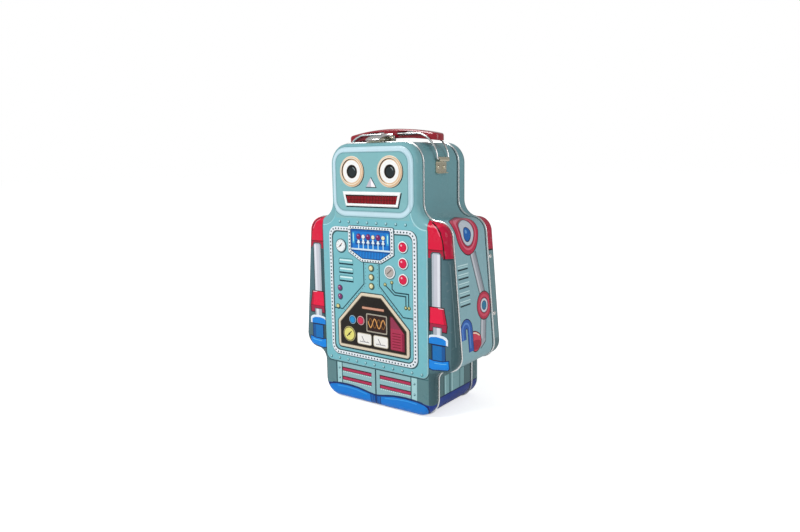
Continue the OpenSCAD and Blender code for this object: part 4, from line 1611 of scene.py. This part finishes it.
def print_material():
    """Lacquered lithographed tin: the ink, faint mottling, rubbed edges and fine scuffs."""
    m = Nodes("printed_tin")
    ink = m.tree.nodes.new("ShaderNodeAttribute")
    ink.attribute_name = "ink"
    mottle = m.spread(m.noise(55, 4), 0.3, 0.7, 0.0, 0.05)
    aged = m.mix(mottle, ink.outputs["Color"], (0.16, 0.15, 0.12))
    grain = m.spread(m.noise(900, 2), 0.35, 0.65, 0.0, 1.0)
    rub = m.times(ink.outputs["Alpha"], m.spread(m.noise(260, 5), 0.56, 0.66, 0.0, 0.26))
    worn = m.mix(rub, aged, (0.55, 0.56, 0.55))
    scuff = m.spread(m.noise(230, 6, (1.0, 1.0, 0.5)), 0.72, 0.78, 0.0, 0.10)
    m.into(Base_Color=m.mix(scuff, worn, (0.78, 0.80, 0.80)))
    m.into(Roughness=m.spread(m.noise(32, 5), 0.3, 0.7, 0.20, 0.34))
    wave = m.bump(m.noise(24, 2), 0.00035, 0.35)
    m.into(Normal=m.bump(grain, 0.00002, 0.25, wave))
    m.set(Coat_Weight=0.12, Coat_Roughness=0.08, Specular_IOR_Level=0.2)
    return m.material


def metal_material(name, colour, dull, rough_low, rough_high):
    """Plated or bare metal with smears, a fine grain and dulled spots."""
    m = Nodes(name)
    tarnish = m.spread(m.noise(140, 5), 0.45, 0.75, 0.0, 0.4)
    m.into(Base_Color=m.mix(tarnish, colour, dull))
    m.into(Roughness=m.spread(m.noise(420, 4), 0.3, 0.7, rough_low, rough_high))
    m.into(Normal=m.bump(m.noise(700, 2), 0.00001, 0.15))
    m.set(Metallic=1.0)
    return m.material


def enamel_material():
    """Thick dark red enamel, with orange peel and rubs down to primer."""
    m = Nodes("red_enamel")
    depth = m.mix(m.spread(m.noise(90, 4), 0.3, 0.7, 0, 1), (0.25, 0.001, 0.010), (0.32, 0.003, 0.018))
    rub = m.spread(m.noise(240, 6, (0.3, 1.0, 1.0)), 0.70, 0.76, 0.0, 0.2)
    m.into(Base_Color=m.mix(rub, depth, (0.55, 0.30, 0.30)))
    m.into(Roughness=m.spread(m.noise(60, 4), 0.3, 0.7, 0.16, 0.30))
    m.into(Normal=m.bump(m.noise(420, 2), 0.00004, 0.3))
    m.set(Coat_Weight=0.4, Coat_Roughness=0.08)
    return m.material


def floor_material():
    """White paper; it glows to the camera alone, so that it meets the backdrop without an edge."""
    m = Nodes("paper_floor")
    cloud = m.spread(m.noise(9, 3), 0.3, 0.7, 0, 1)
    m.into(Base_Color=m.mix(cloud, (0.90, 0.90, 0.90), (0.93, 0.93, 0.93)))
    seen = m.tree.nodes.new("ShaderNodeLightPath").outputs["Is Camera Ray"]
    m.into(Emission_Strength=m.spread(seen, 0, 1, 0, 0.62))
    m.set(Roughness=0.9, Specular_IOR_Level=0.1, Emission_Color=(1, 1, 1, 1))
    return m.material


# ---------------------------------------------------------------- the whole case
INK = print_material()
TIN = metal_material("bare_tin", (0.66, 0.64, 0.57), (0.50, 0.47, 0.40), 0.28, 0.45)
BRIGHT = metal_material("bright_bead", (0.86, 0.88, 0.88), (0.70, 0.71, 0.70), 0.22, 0.34)
CHROME = metal_material("chrome", (0.78, 0.78, 0.76), (0.52, 0.51, 0.48), 0.10, 0.24)
NICKEL = metal_material("nickel", (0.66, 0.62, 0.48), (0.50, 0.45, 0.33), 0.20, 0.32)
STEEL = metal_material("steel_wire", (0.84, 0.84, 0.84), (0.64, 0.63, 0.61), 0.14, 0.26)

make_lid(INK, TIN)
make_band(INK, TIN)
make_pan(INK, TIN)
make_beads(BRIGHT)
make_neck(TIN)
make_handle(enamel_material())
make_bail(-1, "bail_left", "left_bail", STEEL)
make_bail(1, "bail_right", "right_bail", STEEL)
make_bracket(-1, "bracket_left", NICKEL)
make_bracket(1, "bracket_right", NICKEL)
make_rivets(CHROME, NICKEL)
make_latch_base(NICKEL)
make_latch_pin(CHROME)
make_lever(CHROME)
make_keeper(NICKEL)
make_hinge(TIN, STEEL)
make_floor(floor_material())
make_light()
make_camera()
